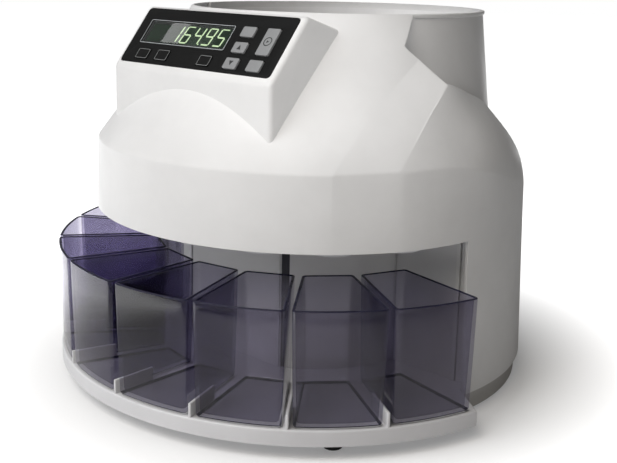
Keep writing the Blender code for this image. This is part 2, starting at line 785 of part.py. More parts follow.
def pod_mesh():
    front_z = PANEL_Z + (POD_FRONT_Y - PANEL_Y) * math.tan(PANEL_TILT)
    rear_z = POD_TOP_Z - (POD_REAR_Y - POD_TOP_Y) * POD_TOP_FALL
    profile = ((POD_FRONT_Y, POD_FOOT_Z), (POD_FRONT_Y, front_z), (POD_TOP_Y, POD_TOP_Z),
               (POD_REAR_Y, rear_z), (POD_REAR_Y, POD_FOOT_Z))
    bm = bmesh.new()
    bm.from_mesh(side_prism(profile, POD_HALF_WIDTH))
    edges = [e for e in bm.edges if max(v.co.y for v in e.verts) < POD_REAR_Y - MERGE
             and min(v.co.z for v in e.verts) > POD_FOOT_Z + MERGE]
    sides = [e for e in bm.edges if abs(e.verts[0].co.x - e.verts[1].co.x) < MERGE
             and e.verts[0].co.y + e.verts[1].co.y < 2 * POD_FRONT_Y + MERGE]
    tops = [e for e in bm.edges if min(v.co.z for v in e.verts) > PANEL_Z
            and abs(e.verts[0].co.x - e.verts[1].co.x) < MERGE]
    chosen = list(set(edges + sides + tops))
    bmesh.ops.bevel(bm, geom=chosen, offset=POD_EDGE_RADIUS, segments=2, profile=0.5, affect="EDGES")
    return from_bmesh("pod", bm)


def pod_cavity_mesh():
    depth = OVERLAY_THICKNESS + POD_WALL
    foot = panel_point(0.0, 0.0, -depth)
    slope = math.tan(PANEL_TILT)
    front_y = POD_FRONT_Y + POD_WALL
    front_z = foot.z + (front_y - foot.y) * slope
    collar_y = RIM_SHIFT - RIM_R - POD_WALL - CLEARANCE
    top_y = collar_y - 2 * POD_WALL
    top_z = foot.z + (top_y - foot.y) * slope
    profile = ((front_y, front_z), (top_y, top_z), (collar_y, top_z), (collar_y, PANEL_Z),
               (front_y, POD_CAVITY_FOOT_Z))
    return side_prism(profile, POD_HALF_WIDTH - POD_WALL)


def build_housing():
    housing = make("housing", loft_mesh(body_rings(0.0)), MACHINE)
    paint(housing, WHITE, 0.38)
    add(housing, pod_mesh())
    add(housing, rod_mesh(RIM_R, RIM_Z - RIM_LIP_HEIGHT, RIM_Z, (0.0, RIM_SHIFT), WIDE_ROUND_COUNT))
    inner = body_rings(WALL)
    inner.insert(0, shifted(inner[0], -OVERRUN))
    inner.append(shifted(inner[-1], OVERRUN))
    cut(housing, loft_mesh(inner))
    cut(housing, pod_cavity_mesh())
    bay = [(0.0, 0.0)] + arc(WALL_R_FOOT + OVERRUN, -BAY_HALF_ANGLE, BAY_HALF_ANGLE, ROUND_COUNT)
    cut(housing, slab_mesh([bay], -OVERRUN, COWL_EDGE_Z))
    bosses = []
    holes = []
    for spot in body_screw_spots():
        bosses.append(rod_mesh(BODY_BOSS_R, TRAY_TOP + CLEARANCE, BODY_BOSS_TOP, spot, POST_ROUND_COUNT))
        holes.append(rod_mesh(SCREW_R + CLEARANCE, TRAY_TOP - OVERRUN, BODY_BOSS_TOP - BASE_THICKNESS, spot,
                              POST_ROUND_COUNT))
    for u, s in panel_posts():
        bosses.append(moved(rod_mesh(PANEL_POST_R, -DISPLAY_BOARD_DEPTH + CLEARANCE,
                                     -OVERLAY_THICKNESS - OVERLAP, (u, s), POST_ROUND_COUNT), PANEL_MATRIX))
    add(housing, joined(bosses))
    recess = grown((-PANEL_HALF_WIDTH, 0.0, PANEL_HALF_WIDTH, PANEL_LENGTH), CLEARANCE)
    cuts = holes
    cuts.append(panel_slab([rounded_box(*recess, PANEL_CORNER)], -OVERLAY_THICKNESS, OVERRUN))
    depth = OVERLAY_THICKNESS + POD_WALL + OVERLAP
    through = [grown(rect, CLEARANCE) for rect in KEYS.values()]
    through.append(grown(WINDOW, -WINDOW_LEDGE))
    wells = [panel_box(x0, y0, -depth, x1, y1, -OVERLAY_THICKNESS + OVERLAP) for x0, y0, x1, y1 in through]
    cut(housing, joined(cuts))
    cut(housing, joined(wells))
    cut(housing, box_mesh(-REAR_HALF_WIDTH, REAR_PANEL_Y - OVERRUN, REAR_SILL_Z, REAR_HALF_WIDTH,
                          WALL_R_FOOT + OVERRUN, REAR_TOP_Z))


def body_screw_spots():
    spots = [around(BODY_SCREW_R, side * angle).xy for angle in BODY_SCREW_ANGLES for side in (-1, 1)]
    return [tuple(spot) for spot in spots]


def panel_posts():
    return [(side * PANEL_POST_U, s) for side in (-1, 1) for s in PANEL_POST_S]


def foot_spots():
    places = ((FRONT_FOOT_R, FRONT_FOOT_ANGLE), (REAR_FOOT_R, REAR_FOOT_ANGLE))
    return [tuple(around(r, side * angle).xy) for r, angle in places for side in (-1, 1)]


def deck_posts():
    return [(side * x, y) for x, y in DECK_POSTS for side in (-1, 1)]


def board_corners(board):
    x0, y0, x1, y1 = grown(board, -BOARD_INSET)
    return [(x0, y0), (x1, y0), (x1, y1), (x0, y1)]


def base_outline(inset):
    """Plan of the base: the wide tray in front and the body's round behind."""
    turn = inset / BASE_R
    front = arc(TRAY_R - inset, -TRAY_HALF_ANGLE + turn, TRAY_HALF_ANGLE - turn, ARC_STEP_COUNT)
    rear = arc(BASE_R - inset, BAY_HALF_ANGLE - turn, 2 * math.pi - BAY_HALF_ANGLE + turn, ARC_STEP_COUNT)
    return front + rear


def build_base():
    plate = slab_mesh([base_outline(0.0)], TRAY_TOP - BASE_THICKNESS, TRAY_TOP)
    base = paint(make("base_tray", plate, MACHINE), WHITE, 0.42)
    seam = TRAY_TOP - BASE_THICKNESS + OVERLAP
    add(base, slab_mesh([base_outline(0.0), base_outline(BASE_THICKNESS)], TRAY_FOOT, seam))
    rear_out = arc(BASE_R, BAY_HALF_ANGLE, 2 * math.pi - BAY_HALF_ANGLE, ARC_STEP_COUNT)
    rear_in = arc(BASE_R - BASE_THICKNESS, BAY_HALF_ANGLE, 2 * math.pi - BAY_HALF_ANGLE, ARC_STEP_COUNT)
    add(base, slab_mesh([rear_out + rear_in[::-1]], BASE_SKIRT_FOOT, TRAY_FOOT + OVERLAP))
    extras = []
    low = TRAY_TOP - OVERLAP
    for i in range(CUP_COUNT - 1):
        angle = (i - (CUP_COUNT - 2) / 2) * CUP_PITCH
        rib = box_mesh(-RIB_THICKNESS / 2, -TRAY_R + RIB_SETBACK, low, RIB_THICKNESS / 2, -RIB_INNER_R,
                       TRAY_TOP + RIB_HEIGHT)
        extras.append(moved(rib, Matrix.Rotation(angle, 4, "Z")))
    for spot in deck_posts():
        extras.append(rod_mesh(DECK_POST_R, low, DECK_FOOT - CLEARANCE, spot, POST_ROUND_COUNT))
    for spot in board_corners(MAIN_BOARD) + board_corners(POWER_BOARD):
        extras.append(rod_mesh(BOARD_STANDOFF_R, low, TRAY_TOP + BOARD_STANDOFF_HEIGHT, spot, POST_ROUND_COUNT))
    extras.append(rod_mesh(SEAT_R, low, LOWER_BEARING_FOOT + BEARING_WIDTH))
    add(base, joined(extras))
    bosses = [rod_mesh(FOOT_BOSS_R, TRAY_FOOT, seam, spot, POST_ROUND_COUNT) for spot in foot_spots()]
    add(base, joined(bosses))
    holes = [rod_mesh(BEARING_R + CLEARANCE, LOWER_BEARING_FOOT - CLEARANCE, LOWER_BEARING_FOOT + OVERRUN)]
    for spot in body_screw_spots():
        holes.append(rod_mesh(SCREW_R + CLEARANCE, -OVERRUN, TRAY_TOP + OVERRUN, spot, POST_ROUND_COUNT))
    cut(base, joined(holes))
    cut(base, rod_mesh(SHAFT_R + BASE_THICKNESS, SHAFT_FOOT - CLEARANCE, LOWER_BEARING_FOOT + OVERRUN,
                       segments=SMALL_ROUND_COUNT))


def bay_path(offset):
    """Right half of the bay wall's plan, from the middle of its flat front outwards."""
    radius = BAY_BACK_R + offset
    flat_y = -math.sqrt(radius * radius - BAY_FLAT_HALF * BAY_FLAT_HALF)
    start = math.atan2(BAY_FLAT_HALF, -flat_y)
    side_y = BAY_SIDE_Y - offset
    end = math.acos(-side_y / radius)
    curve = arc(radius, start, end, SMALL_ROUND_COUNT)
    return curve + [(BAY_END_X, side_y)]


def build_bay_wall():
    front = bay_path(BAY_WALL)
    back = bay_path(0.0)
    left_front = [(-x, y) for x, y in front[::-1]]
    left_back = [(-x, y) for x, y in back[::-1]]
    outline = left_front + front + back[::-1] + left_back[::-1]
    mesh = slab_mesh([outline], TRAY_TOP + CLEARANCE, BAY_TOP)
    paint(make("bay_wall", mesh, MACHINE), WHITE, 0.45)


def build_deck():
    deck = make("deck", rod_mesh(DECK_R, DECK_FOOT, DECK_TOP, segments=WIDE_ROUND_COUNT), MACHINE)
    paint(deck, LIGHT_GREY, 0.5)
    bodies = [rod_mesh(SEAT_R, UPPER_BEARING_FOOT - BEARING_SEAT_WALL, DECK_FOOT + OVERLAP)]
    for angle in CUP_ANGLES:
        spot = around(CHUTE_R, angle)
        bodies.append(rod_mesh(CHUTE_OUTER, CHUTE_FOOT, DECK_FOOT + OVERLAP, (spot.x, spot.y), SMALL_ROUND_COUNT))
    add(deck, joined(bodies))
    angles = [(i - CUP_COUNT / 2) * CUP_PITCH for i in range(CUP_COUNT + 1)]
    spacers = [tuple(around(CHUTE_R, angle).xy) for angle in (*angles, *REAR_SPACER_ANGLES)]
    add(deck, joined([rod_mesh(SPACER_R, DECK_TOP - OVERLAP, RING_FOOT - CLEARANCE, spot, POST_ROUND_COUNT)
                      for spot in spacers]))
    holes = [rod_mesh(BEARING_R + CLEARANCE, UPPER_BEARING_FOOT - CLEARANCE, DECK_TOP + OVERRUN)]
    for angle in CUP_ANGLES:
        spot = around(CHUTE_R, angle)
        holes.append(rod_mesh(CHUTE_OUTER - CHUTE_WALL, CHUTE_FOOT - OVERRUN, DECK_TOP + OVERLAP,
                              (spot.x, spot.y), SMALL_ROUND_COUNT))
    cut(deck, joined(holes))
    cut(deck, rod_mesh(SHAFT_R + BASE_THICKNESS, DECK_FOOT - OVERRUN, DECK_TOP + OVERRUN))


def build_sorting_ring():
    outlines = [circle(RING_OUTER_R, segments=WIDE_ROUND_COUNT), circle(RING_INNER_R, segments=WIDE_ROUND_COUNT)]
    for i, angle in enumerate(CUP_ANGLES):
        spot = around(CHUTE_R, angle)
        outlines.append(circle((APERTURE_SMALLEST + i * APERTURE_STEP) / 2, (spot.x, spot.y), SMALL_ROUND_COUNT))
    ring = make("sorting_ring", slab_mesh(outlines, RING_FOOT, RING_TOP), MACHINE)
    paint(ring, STEEL, 0.32, 1.0)
    rail = [circle(radius, segments=WIDE_ROUND_COUNT) for radius in (RING_OUTER_R, RING_OUTER_R - RING_RAIL)]
    add(ring, slab_mesh(rail, RING_TOP - OVERLAP, RING_TOP + RING_RAIL_HEIGHT))


def build_sensors():
    outline = (arc(SENSOR_BOARD_OUTER_R, -SENSOR_BOARD_HALF_ANGLE, SENSOR_BOARD_HALF_ANGLE, ROUND_COUNT)
               + arc(SENSOR_BOARD_INNER_R, SENSOR_BOARD_HALF_ANGLE, -SENSOR_BOARD_HALF_ANGLE, ROUND_COUNT))
    foot = DECK_TOP + CLEARANCE
    board = make("sensor_board", slab_mesh([outline], foot, foot + BOARD_THICKNESS), MACHINE)
    paint(board, BOARD_GREEN, 0.4)
    width, depth, height = SENSOR_SIZE
    low = foot + BOARD_THICKNESS - OVERLAP
    bodies = []
    for angle in CUP_ANGLES:
        body = box_mesh(-width / 2, -SENSOR_R - depth / 2, low, width / 2, -SENSOR_R + depth / 2, low + height)
        bodies.append(moved(body, Matrix.Rotation(angle, 4, "Z")))
    add(board, joined(bodies))


def bowl_ring(t, inset):
    radius = lerp(BOWL_FOOT_R, BOWL_TOP_R, t) - inset
    y = lerp(0.0, RIM_SHIFT, t)
    z = lerp(BOWL_FOOT_Z, BOWL_TOP_Z, t)
    return [(radius * math.cos(a), y + radius * math.sin(a), z) for a in turn_angles(WIDE_ROUND_COUNT)]


def build_bowl():
    rings = [bowl_ring(0.0, 0.0), bowl_ring(1.0, 0.0), bowl_ring(1.0, BOWL_WALL), bowl_ring(0.0, BOWL_WALL)]
    bowl = make("hopper_bowl", loft_mesh(rings, closed_loop=True), MACHINE)
    paint(shade_round(bowl), WHITE, 0.35)


def gear_outline(teeth, module, phase):
    """Gear with straight-sided teeth, thinned a little so that a pair turns freely."""
    pitch_radius = module * teeth / 2
    root = pitch_radius - module * TOOTH_ROOT_SHARE
    tip = pitch_radius + module * TOOTH_TIP_SHARE
    pitch = 2 * math.pi / teeth
    outline = []
    for i in range(teeth):
        middle = phase + i * pitch
        for radius, share in ((root, -TOOTH_FOOT_SHARE), (tip, -TOOTH_HEAD_SHARE),
                              (tip, TOOTH_HEAD_SHARE), (root, TOOTH_FOOT_SHARE)):
            angle = middle + share * pitch
            outline.append((radius * math.sin(angle), radius * math.cos(angle)))
    return outline[::-1]


def build_spindle():
    shaft = make("drive_shaft", rod_mesh(SHAFT_R, SHAFT_FOOT, SHAFT_TOP, segments=SMALL_ROUND_COUNT), SPINDLE)
    paint(shade_round(shaft), STEEL, 0.28, 1.0)
    flange_foot = UPPER_BEARING_FOOT + BEARING_WIDTH + CLEARANCE
    add(shaft, rod_mesh(SHAFT_FLANGE_R, flange_foot, flange_foot + SHAFT_FLANGE_THICKNESS))
    bore = SHAFT_R + CLEARANCE
    disc = make("feeder_disc", rod_mesh(DISC_R, DISC_FOOT + CLEARANCE, DISC_TOP, segments=WIDE_ROUND_COUNT), SPINDLE)
    paint(disc, LIGHT_GREY, 0.4)
    add(disc, rod_mesh(DISC_BOSS_R, DISC_TOP - OVERLAP, DISC_TOP + DISC_BOSS_HEIGHT))
    fingers = []
    for i in range(FINGER_COUNT):
        finger = box_mesh(-FINGER_WIDTH / 2, -FINGER_OUTER_R, DISC_TOP - OVERLAP, FINGER_WIDTH / 2,
                          -FINGER_INNER_R, DISC_TOP + FINGER_HEIGHT)
        fingers.append(moved(finger, Matrix.Rotation(2 * math.pi * i / FINGER_COUNT, 4, "Z")))
    add(disc, joined(fingers))
    cut(disc, rod_mesh(bore, DISC_FOOT - OVERRUN, DISC_TOP + OVERRUN, segments=SMALL_ROUND_COUNT))
    cap_foot = DISC_TOP + DISC_BOSS_HEIGHT + CLEARANCE
    cap = make("disc_cap", rod_mesh(CAP_R, cap_foot, cap_foot + CAP_HEIGHT, top_radius=DISC_BOSS_R), SPINDLE)
    paint(soften(cap, DISC_THICKNESS), BLACK, 0.3)
    gear = make("drive_gear", slab_mesh([gear_outline(GEAR_TEETH, GEAR_MODULE, 0.0),
                                         circle(bore, segments=SMALL_ROUND_COUNT)],
                                        GEAR_FOOT, GEAR_FOOT + GEAR_THICKNESS), SPINDLE)
    paint(gear, ACETAL, 0.5)
    hub = [circle(GEAR_HUB_R, segments=ROUND_COUNT), circle(bore, segments=SMALL_ROUND_COUNT)]
    top = GEAR_FOOT + GEAR_THICKNESS
    add(gear, slab_mesh(hub, top - OVERLAP, top + GEAR_HUB_HEIGHT))
    for name, z in (("circlip_lower", GEAR_FOOT - CLEARANCE - CIRCLIP_THICKNESS),
                    ("circlip_upper", top + GEAR_HUB_HEIGHT + CLEARANCE)):
        clip = slab_mesh([circle(CIRCLIP_R, segments=SMALL_ROUND_COUNT), circle(bore, segments=SMALL_ROUND_COUNT)],
                         z, z + CIRCLIP_THICKNESS)
        paint(make(name, clip, SPINDLE), ZINC, 0.35, 1.0)
    for name, z in (("bearing_lower", LOWER_BEARING_FOOT), ("bearing_upper", UPPER_BEARING_FOOT)):
        seat = slab_mesh([circle(BEARING_R), circle(bore, segments=SMALL_ROUND_COUNT)], z, z + BEARING_WIDTH)
        paint(make(name, seat, MACHINE), STEEL, 0.3, 1.0)


def build_motor():
    bore = MOTOR_SHAFT_R + CLEARANCE
    phase = math.pi / PINION_TEETH
    pinion = make("motor_pinion", slab_mesh([gear_outline(PINION_TEETH, GEAR_MODULE, phase + math.pi),
                                             circle(bore, segments=SMALL_ROUND_COUNT)],
                                            GEAR_FOOT, GEAR_FOOT + GEAR_THICKNESS), MOTOR_AXIS)
    paint(pinion, BRASS, 0.35, 1.0)
    shaft = make("motor_shaft", rod_mesh(MOTOR_SHAFT_R, MOTOR_TOP - SCREW_LENGTH,
                                         GEAR_FOOT + GEAR_THICKNESS + CIRCLIP_THICKNESS,
                                         segments=SMALL_ROUND_COUNT), MOTOR_AXIS)
    paint(shade_round(shaft), STEEL, 0.28, 1.0)
    motor = make("drive_motor", rod_mesh(MOTOR_R, MOTOR_FOOT, MOTOR_TOP), MOTOR_MOUNT)
    paint(motor, ZINC, 0.4, 1.0)
    add(motor, rod_mesh(MOTOR_BOSS_R, MOTOR_TOP - OVERLAP, MOTOR_TOP + MOTOR_BOSS_HEIGHT))
    cut(motor, rod_mesh(bore, MOTOR_TOP - SCREW_LENGTH - CLEARANCE, MOTOR_TOP + OVERRUN, segments=SMALL_ROUND_COUNT))
    low = MOTOR_TOP + CLEARANCE
    high = low + MOTOR_BRACKET_THICKNESS
    half = MOTOR_BRACKET_HALF
    bracket = make("motor_bracket", box_mesh(-half, -MOTOR_R, low, half, MOTOR_R, high), MOTOR_MOUNT)
    paint(bracket, ZINC, 0.38, 1.0)
    legs = [box_mesh(side * half - (side > 0) * MOTOR_BRACKET_THICKNESS, -MOTOR_R, TRAY_TOP + CLEARANCE,
                     side * half + (side < 0) * MOTOR_BRACKET_THICKNESS, MOTOR_R, high) for side in (-1, 1)]
    add(bracket, joined(legs))
    cut(bracket, rod_mesh(MOTOR_BOSS_R + CLEARANCE, low - OVERRUN, high + OVERRUN))


def cup_outline(inset):
    """Plan of a cup that points to the front: narrow at the rear, with a front that bulges."""
    corners = ((-CUP_OUTER_HALF, -CUP_OUTER_R), (0.0, -CUP_OUTER_R - CUP_BULGE), (CUP_OUTER_HALF, -CUP_OUTER_R),
               (CUP_INNER_HALF, -CUP_INNER_R), (-CUP_INNER_HALF, -CUP_INNER_R))
    radii = (CUP_FRONT_CORNER, CUP_BULGE_R, CUP_FRONT_CORNER, CUP_REAR_CORNER, CUP_REAR_CORNER)
    radii = [max(radius - inset, CUP_WALL) for radius in radii]
    return rounded(moved_in(corners, inset), radii, CUP_STEP_COUNTS)


def cup_ring(inset, z):
    return [(x, y, z) for x, y in cup_outline(inset)]


def build_cups():
    for i, angle in enumerate(CUP_ANGLES):
        floor = CUP_FOOT + CUP_WALL
        rings = [cup_ring(CUP_DRAFT + CUP_FOOT_ROUND, CUP_FOOT), cup_ring(CUP_DRAFT, CUP_FOOT + CUP_FOOT_ROUND),
                 cup_ring(0.0, CUP_RIM_Z), cup_ring(CUP_WALL, CUP_RIM_Z),
                 cup_ring(CUP_DRAFT + CUP_WALL, floor + CUP_FOOT_ROUND),
                 cup_ring(CUP_DRAFT + CUP_WALL + CUP_FOOT_ROUND, floor)]
        cup = make(f"cup_{i + 1}", triangulated(loft_mesh(rings)), MACHINE)
        cup.rotation_euler = (0.0, 0.0, angle)
        paint(cup, CUP_BLUE, 0.12, alpha=0.6)


def build_panel():
    plate = rounded_box(-PANEL_HALF_WIDTH, 0.0, PANEL_HALF_WIDTH, PANEL_LENGTH, PANEL_CORNER)
    low = -OVERLAY_THICKNESS + CLEARANCE
    openings = [rounded_box(*grown(rect, CLEARANCE), KEY_CORNER) for rect in KEYS.values()]
    openings.append(rounded_box(*WINDOW, KEY_CORNER))
    overlay = make("panel_overlay", slab_mesh([plate] + openings, low, OVERLAY_PROUD), PANEL)
    paint(overlay, BLACK, 0.08)
    lens = slab_mesh([rounded_box(*grown(WINDOW, -CLEARANCE), KEY_CORNER)], low, OVERLAY_PROUD)
    paint(make("display_window", lens, PANEL), GLASS_GREY, 0.05)
    wall_back = -OVERLAY_THICKNESS - POD_WALL
    flange_top = wall_back - CLEARANCE
    for name, rect in KEYS.items():
        x0, y0, x1, y1 = rect
        middle = ((x0 + x1) / 2, (y0 + y1) / 2)
        local = (x0 - middle[0], y0 - middle[1], x1 - middle[0], y1 - middle[1])
        dark = name in DARK_KEYS
        top = OVERLAY_PROUD + (DARK_KEY_PROUD if dark else KEY_PROUD)
        cap = slab_mesh([rounded_box(*local, KEY_CORNER)], flange_top - OVERLAP, top)
        key = make(name, cap, PANEL)
        key.location = (*middle, 0.0)
        paint(key, BLACK if dark else KEY_GREY, 0.3)
        flange = grown(local, KEY_FLANGE)
        add(key, box_mesh(flange[0], flange[1], flange_top - KEY_FLANGE_THICKNESS,
                          flange[2], flange[3], flange_top))
    s0, s1 = DISPLAY_BOARD_SPAN
    top = -DISPLAY_BOARD_DEPTH
    half = DISPLAY_BOARD_HALF_WIDTH
    board = make("display_board", box_mesh(-half, s0, top - BOARD_THICKNESS, half, s1, top), PANEL)
    paint(board, BOARD_GREEN, 0.4)
    half = SWITCH_SIZE / 2
    low = top - OVERLAP
    switches = []
    for x0, y0, x1, y1 in KEYS.values():
        x = (x0 + x1) / 2
        y = (y0 + y1) / 2
        switches.append(box_mesh(x - half, y - half, low, x + half, y + half, low + SWITCH_HEIGHT))
    add(board, joined(switches))
    x0, y0, x1, y1 = grown(WINDOW, -WINDOW_LEDGE)
    low = top + CLEARANCE
    module = make("display_module", box_mesh(x0, y0, low, x1, y1, low + DISPLAY_MODULE_HEIGHT), PANEL)
    paint(module, BLACK, 0.3)


def build_rear():
    low = REAR_SILL_Z + CLEARANCE
    front = REAR_PANEL_Y
    back = front + REAR_PANEL_THICKNESS
    half = REAR_HALF_WIDTH - CLEARANCE
    panel = make("rear_panel", box_mesh(-half, front, low, half, back, REAR_TOP_Z - CLEARANCE), MACHINE)
    paint(panel, LIGHT_GREY, 0.45)
    holes = []
    for port in (INLET, SWITCH, DISPLAY_PORT, SERIAL_PORT):
        x0, z0, x1, z1 = grown(port_rect(port), CLEARANCE)
        holes.append(box_mesh(x0, front - OVERRUN, z0, x1, back + OVERRUN, z1))
    cut(panel, joined(holes))
    for name, port in (("power_inlet", INLET), ("display_socket", DISPLAY_PORT), ("serial_socket", SERIAL_PORT)):
        body = port_body(name, port)
        x0, z0, x1, z1 = grown(port_rect(port), -PORT_WALL)
        face = back + CLEARANCE + PORT_FLANGE
        cut(body, box_mesh(x0, face - port["bore"], z0, x1, face + OVERRUN, z1))
        paint(body, BLACK, 0.4)
        if port is INLET:
            add(body, joined([box_mesh(port["x"] + side * PIN_OFFSET - PIN_HALF, face - port["bore"] - OVERLAP,
                                       PORT_Z - PIN_HALF, port["x"] + side * PIN_OFFSET + PIN_HALF,
                                       face - PORT_FLANGE, PORT_Z + PIN_HALF) for side in (-1, 1)]))
    frame = port_body("switch_frame", SWITCH)
    paint(frame, BLACK, 0.4)
    x0, z0, x1, z1 = grown(port_rect(SWITCH), -PORT_WALL)
    cut(frame, box_mesh(x0, back - ROCKER_DEPTH - OVERLAP, z0, x1, face + OVERRUN, z1))
    half_height = SWITCH["height"] / 2 - PORT_WALL - ROCKER_GAP
    half_width = SWITCH["width"] / 2 - PORT_WALL - CLEARANCE
    outline = ((-ROCKER_DEPTH / 2, -half_height), (PORT_FLANGE / 2, -half_height),
               (PORT_FLANGE, 0.0), (PORT_FLANGE + ROCKER_CROWN / 2, half_height),
               (-ROCKER_DEPTH / 2, half_height))
    rocker = make("power_switch", loft_mesh([[(x, y, z) for y, z in outline]
                                             for x in (-half_width, half_width)]), MACHINE)
    rocker.location = (SWITCH["x"], back + CLEARANCE, PORT_Z)
    paint(rocker, BLACK, 0.3)


def port_rect(port):
    half_width = port["width"] / 2
    half_height = port["height"] / 2
    return (port["x"] - half_width, PORT_Z - half_height, port["x"] + half_width, PORT_Z + half_height)


def port_body(name, port):
    """Socket body through the rear panel, with a flange on the panel's outer face."""
    back = REAR_PANEL_Y + REAR_PANEL_THICKNESS
    x0, z0, x1, z1 = port_rect(port)
    body = make(name, box_mesh(x0, back - port["depth"], z0, x1, back + CLEARANCE + OVERLAP, z1), MACHINE)
    x0, z0, x1, z1 = grown(port_rect(port), PORT_LIP)
    add(body, box_mesh(x0, back + CLEARANCE, z0, x1, back + CLEARANCE + PORT_FLANGE, z1))
    return body


def build_board(name, board):
    x0, y0, x1, y1 = board
    low = TRAY_TOP + BOARD_STANDOFF_HEIGHT + CLEARANCE
    obj = make(name, box_mesh(x0, y0, low, x1, y1, low + BOARD_THICKNESS), MACHINE)
    return paint(obj, BOARD_GREEN, 0.4)


def block(x, y, z, width, depth, height):
    return box_mesh(x - width / 2, y - depth / 2, z, x + width / 2, y + depth / 2, z + height)


def build_electronics():
    low = TRAY_TOP + BOARD_STANDOFF_HEIGHT + CLEARANCE + BOARD_THICKNESS - OVERLAP
    chips = [block(x, y, low, width, depth, height) for x, y, width, depth, height in MAIN_CHIPS]
    add(build_board("main_board", MAIN_BOARD), joined(chips))
    build_board("power_board", POWER_BOARD)
    top = low + OVERLAP + CLEARANCE
    x, y, width, depth, height = TRANSFORMER
    core = make("transformer", block(x, y, top, width, depth, height), MACHINE)
    paint(core, ZINC, 0.5, 1.0)
    coil_width, coil_depth, coil_height = TRANSFORMER_COIL
    add(core, block(x, y, top + (height - coil_height) / 2, coil_width, coil_depth, coil_height))
    can = rod_mesh(CAPACITOR_R, top, top + CAPACITOR_HEIGHT, CAPACITOR_AT)
    paint(shade_round(make("power_capacitor", can, MACHINE)), BLACK, 0.3)


def build_fasteners():
    foot_top = TRAY_FOOT - CLEARANCE
    for i, spot in enumerate(foot_spots()):
        foot = make(f"foot_{i + 1}", rod_mesh(FOOT_R, 0.0, foot_top, spot, SMALL_ROUND_COUNT), MACHINE)
        paint(shade_round(foot), RUBBER, 0.85)
    head = TRAY_TOP - BASE_THICKNESS - SCREW_HEAD_HEIGHT - CLEARANCE
    for i, spot in enumerate(body_screw_spots()):
        screw = make(f"housing_screw_{i + 1}", screw_mesh(spot, head), MACHINE)
        paint(screw, ZINC, 0.35, 1.0)


def front_reach():
    """How far the rims of the front cups stand in front of the spindle."""
    angle = CUP_ANGLES[CUP_COUNT // 2]
    return max(max(-y * math.cos(angle) + x * math.sin(angle) for x, y in cup_outline(0.0)), TRAY_R)


PANEL_MATRIX = Matrix.Translation((0.0, PANEL_Y, PANEL_Z)) @ Matrix.Rotation(PANEL_TILT, 4, "X")
SPINDLE_Y = (front_reach() - WALL_R_FOOT) / 2
MACHINE = add_empty("machine", (0.0, SPINDLE_Y, 0.0))
PANEL = add_empty("panel", (0.0, PANEL_Y, PANEL_Z), (PANEL_TILT, 0.0, 0.0), MACHINE)
SPINDLE = add_empty("spindle", (0.0, 0.0, 0.0), parent=MACHINE)
MOTOR_MOUNT = add_empty("motor_mount", (0.0, MOTOR_Y, 0.0), parent=MACHINE)
MOTOR_AXIS = add_empty("motor_axis", (0.0, MOTOR_Y, 0.0), parent=MACHINE)
bpy.context.view_layer.update()

build_housing()
build_base()
build_bay_wall()
build_deck()
build_sorting_ring()
build_sensors()
build_bowl()
build_spindle()
build_motor()
build_cups()
build_panel()
build_rear()
build_electronics()
build_fasteners()
bpy.context.view_layer.update()
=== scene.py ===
"""Dresses the coin counter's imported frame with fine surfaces, materials, light and a camera."""
import math

import bmesh
import bpy
from bpy.props import FloatProperty, FloatVectorProperty, IntProperty, PointerProperty, StringProperty
from mathutils import Matrix, Quaternion, Vector


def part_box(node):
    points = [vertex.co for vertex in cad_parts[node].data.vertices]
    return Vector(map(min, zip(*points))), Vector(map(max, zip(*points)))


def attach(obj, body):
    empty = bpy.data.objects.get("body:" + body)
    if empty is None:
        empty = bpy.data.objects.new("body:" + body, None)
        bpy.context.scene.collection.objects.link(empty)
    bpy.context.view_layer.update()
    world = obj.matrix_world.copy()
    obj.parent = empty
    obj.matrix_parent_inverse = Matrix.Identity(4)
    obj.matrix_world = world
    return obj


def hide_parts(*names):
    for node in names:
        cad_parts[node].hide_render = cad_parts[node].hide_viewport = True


bl_info = {
    "name": "Coin counter",
    "version": (1, 0, 0),
    "blender": (4, 5, 0),
    "location": "3D View > Sidebar > Counter",
    "description": "Builds the fine surfaces, materials, light and camera of a coin counter",
    "category": "Object",
}

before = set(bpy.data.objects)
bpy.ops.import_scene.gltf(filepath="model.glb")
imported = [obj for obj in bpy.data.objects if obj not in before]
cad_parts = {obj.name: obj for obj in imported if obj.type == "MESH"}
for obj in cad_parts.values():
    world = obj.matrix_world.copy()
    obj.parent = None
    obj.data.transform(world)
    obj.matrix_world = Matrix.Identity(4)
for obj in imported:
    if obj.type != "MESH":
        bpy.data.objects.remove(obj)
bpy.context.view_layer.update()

# Places taken from the frame.
HOUSING_LOW, HOUSING_HIGH = (Vector(corner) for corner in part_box("housing"))
SHAFT_LOW, SHAFT_HIGH = (Vector(corner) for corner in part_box("drive_shaft"))
SPINDLE = Vector(((SHAFT_LOW.x + SHAFT_HIGH.x) / 2, (SHAFT_LOW.y + SHAFT_HIGH.y) / 2, 0.0))
TO_SPINDLE = Matrix.Translation(SPINDLE)
CUP_LOW, CUP_HIGH = (Vector(corner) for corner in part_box("cup_4"))
MACHINE = "machine"

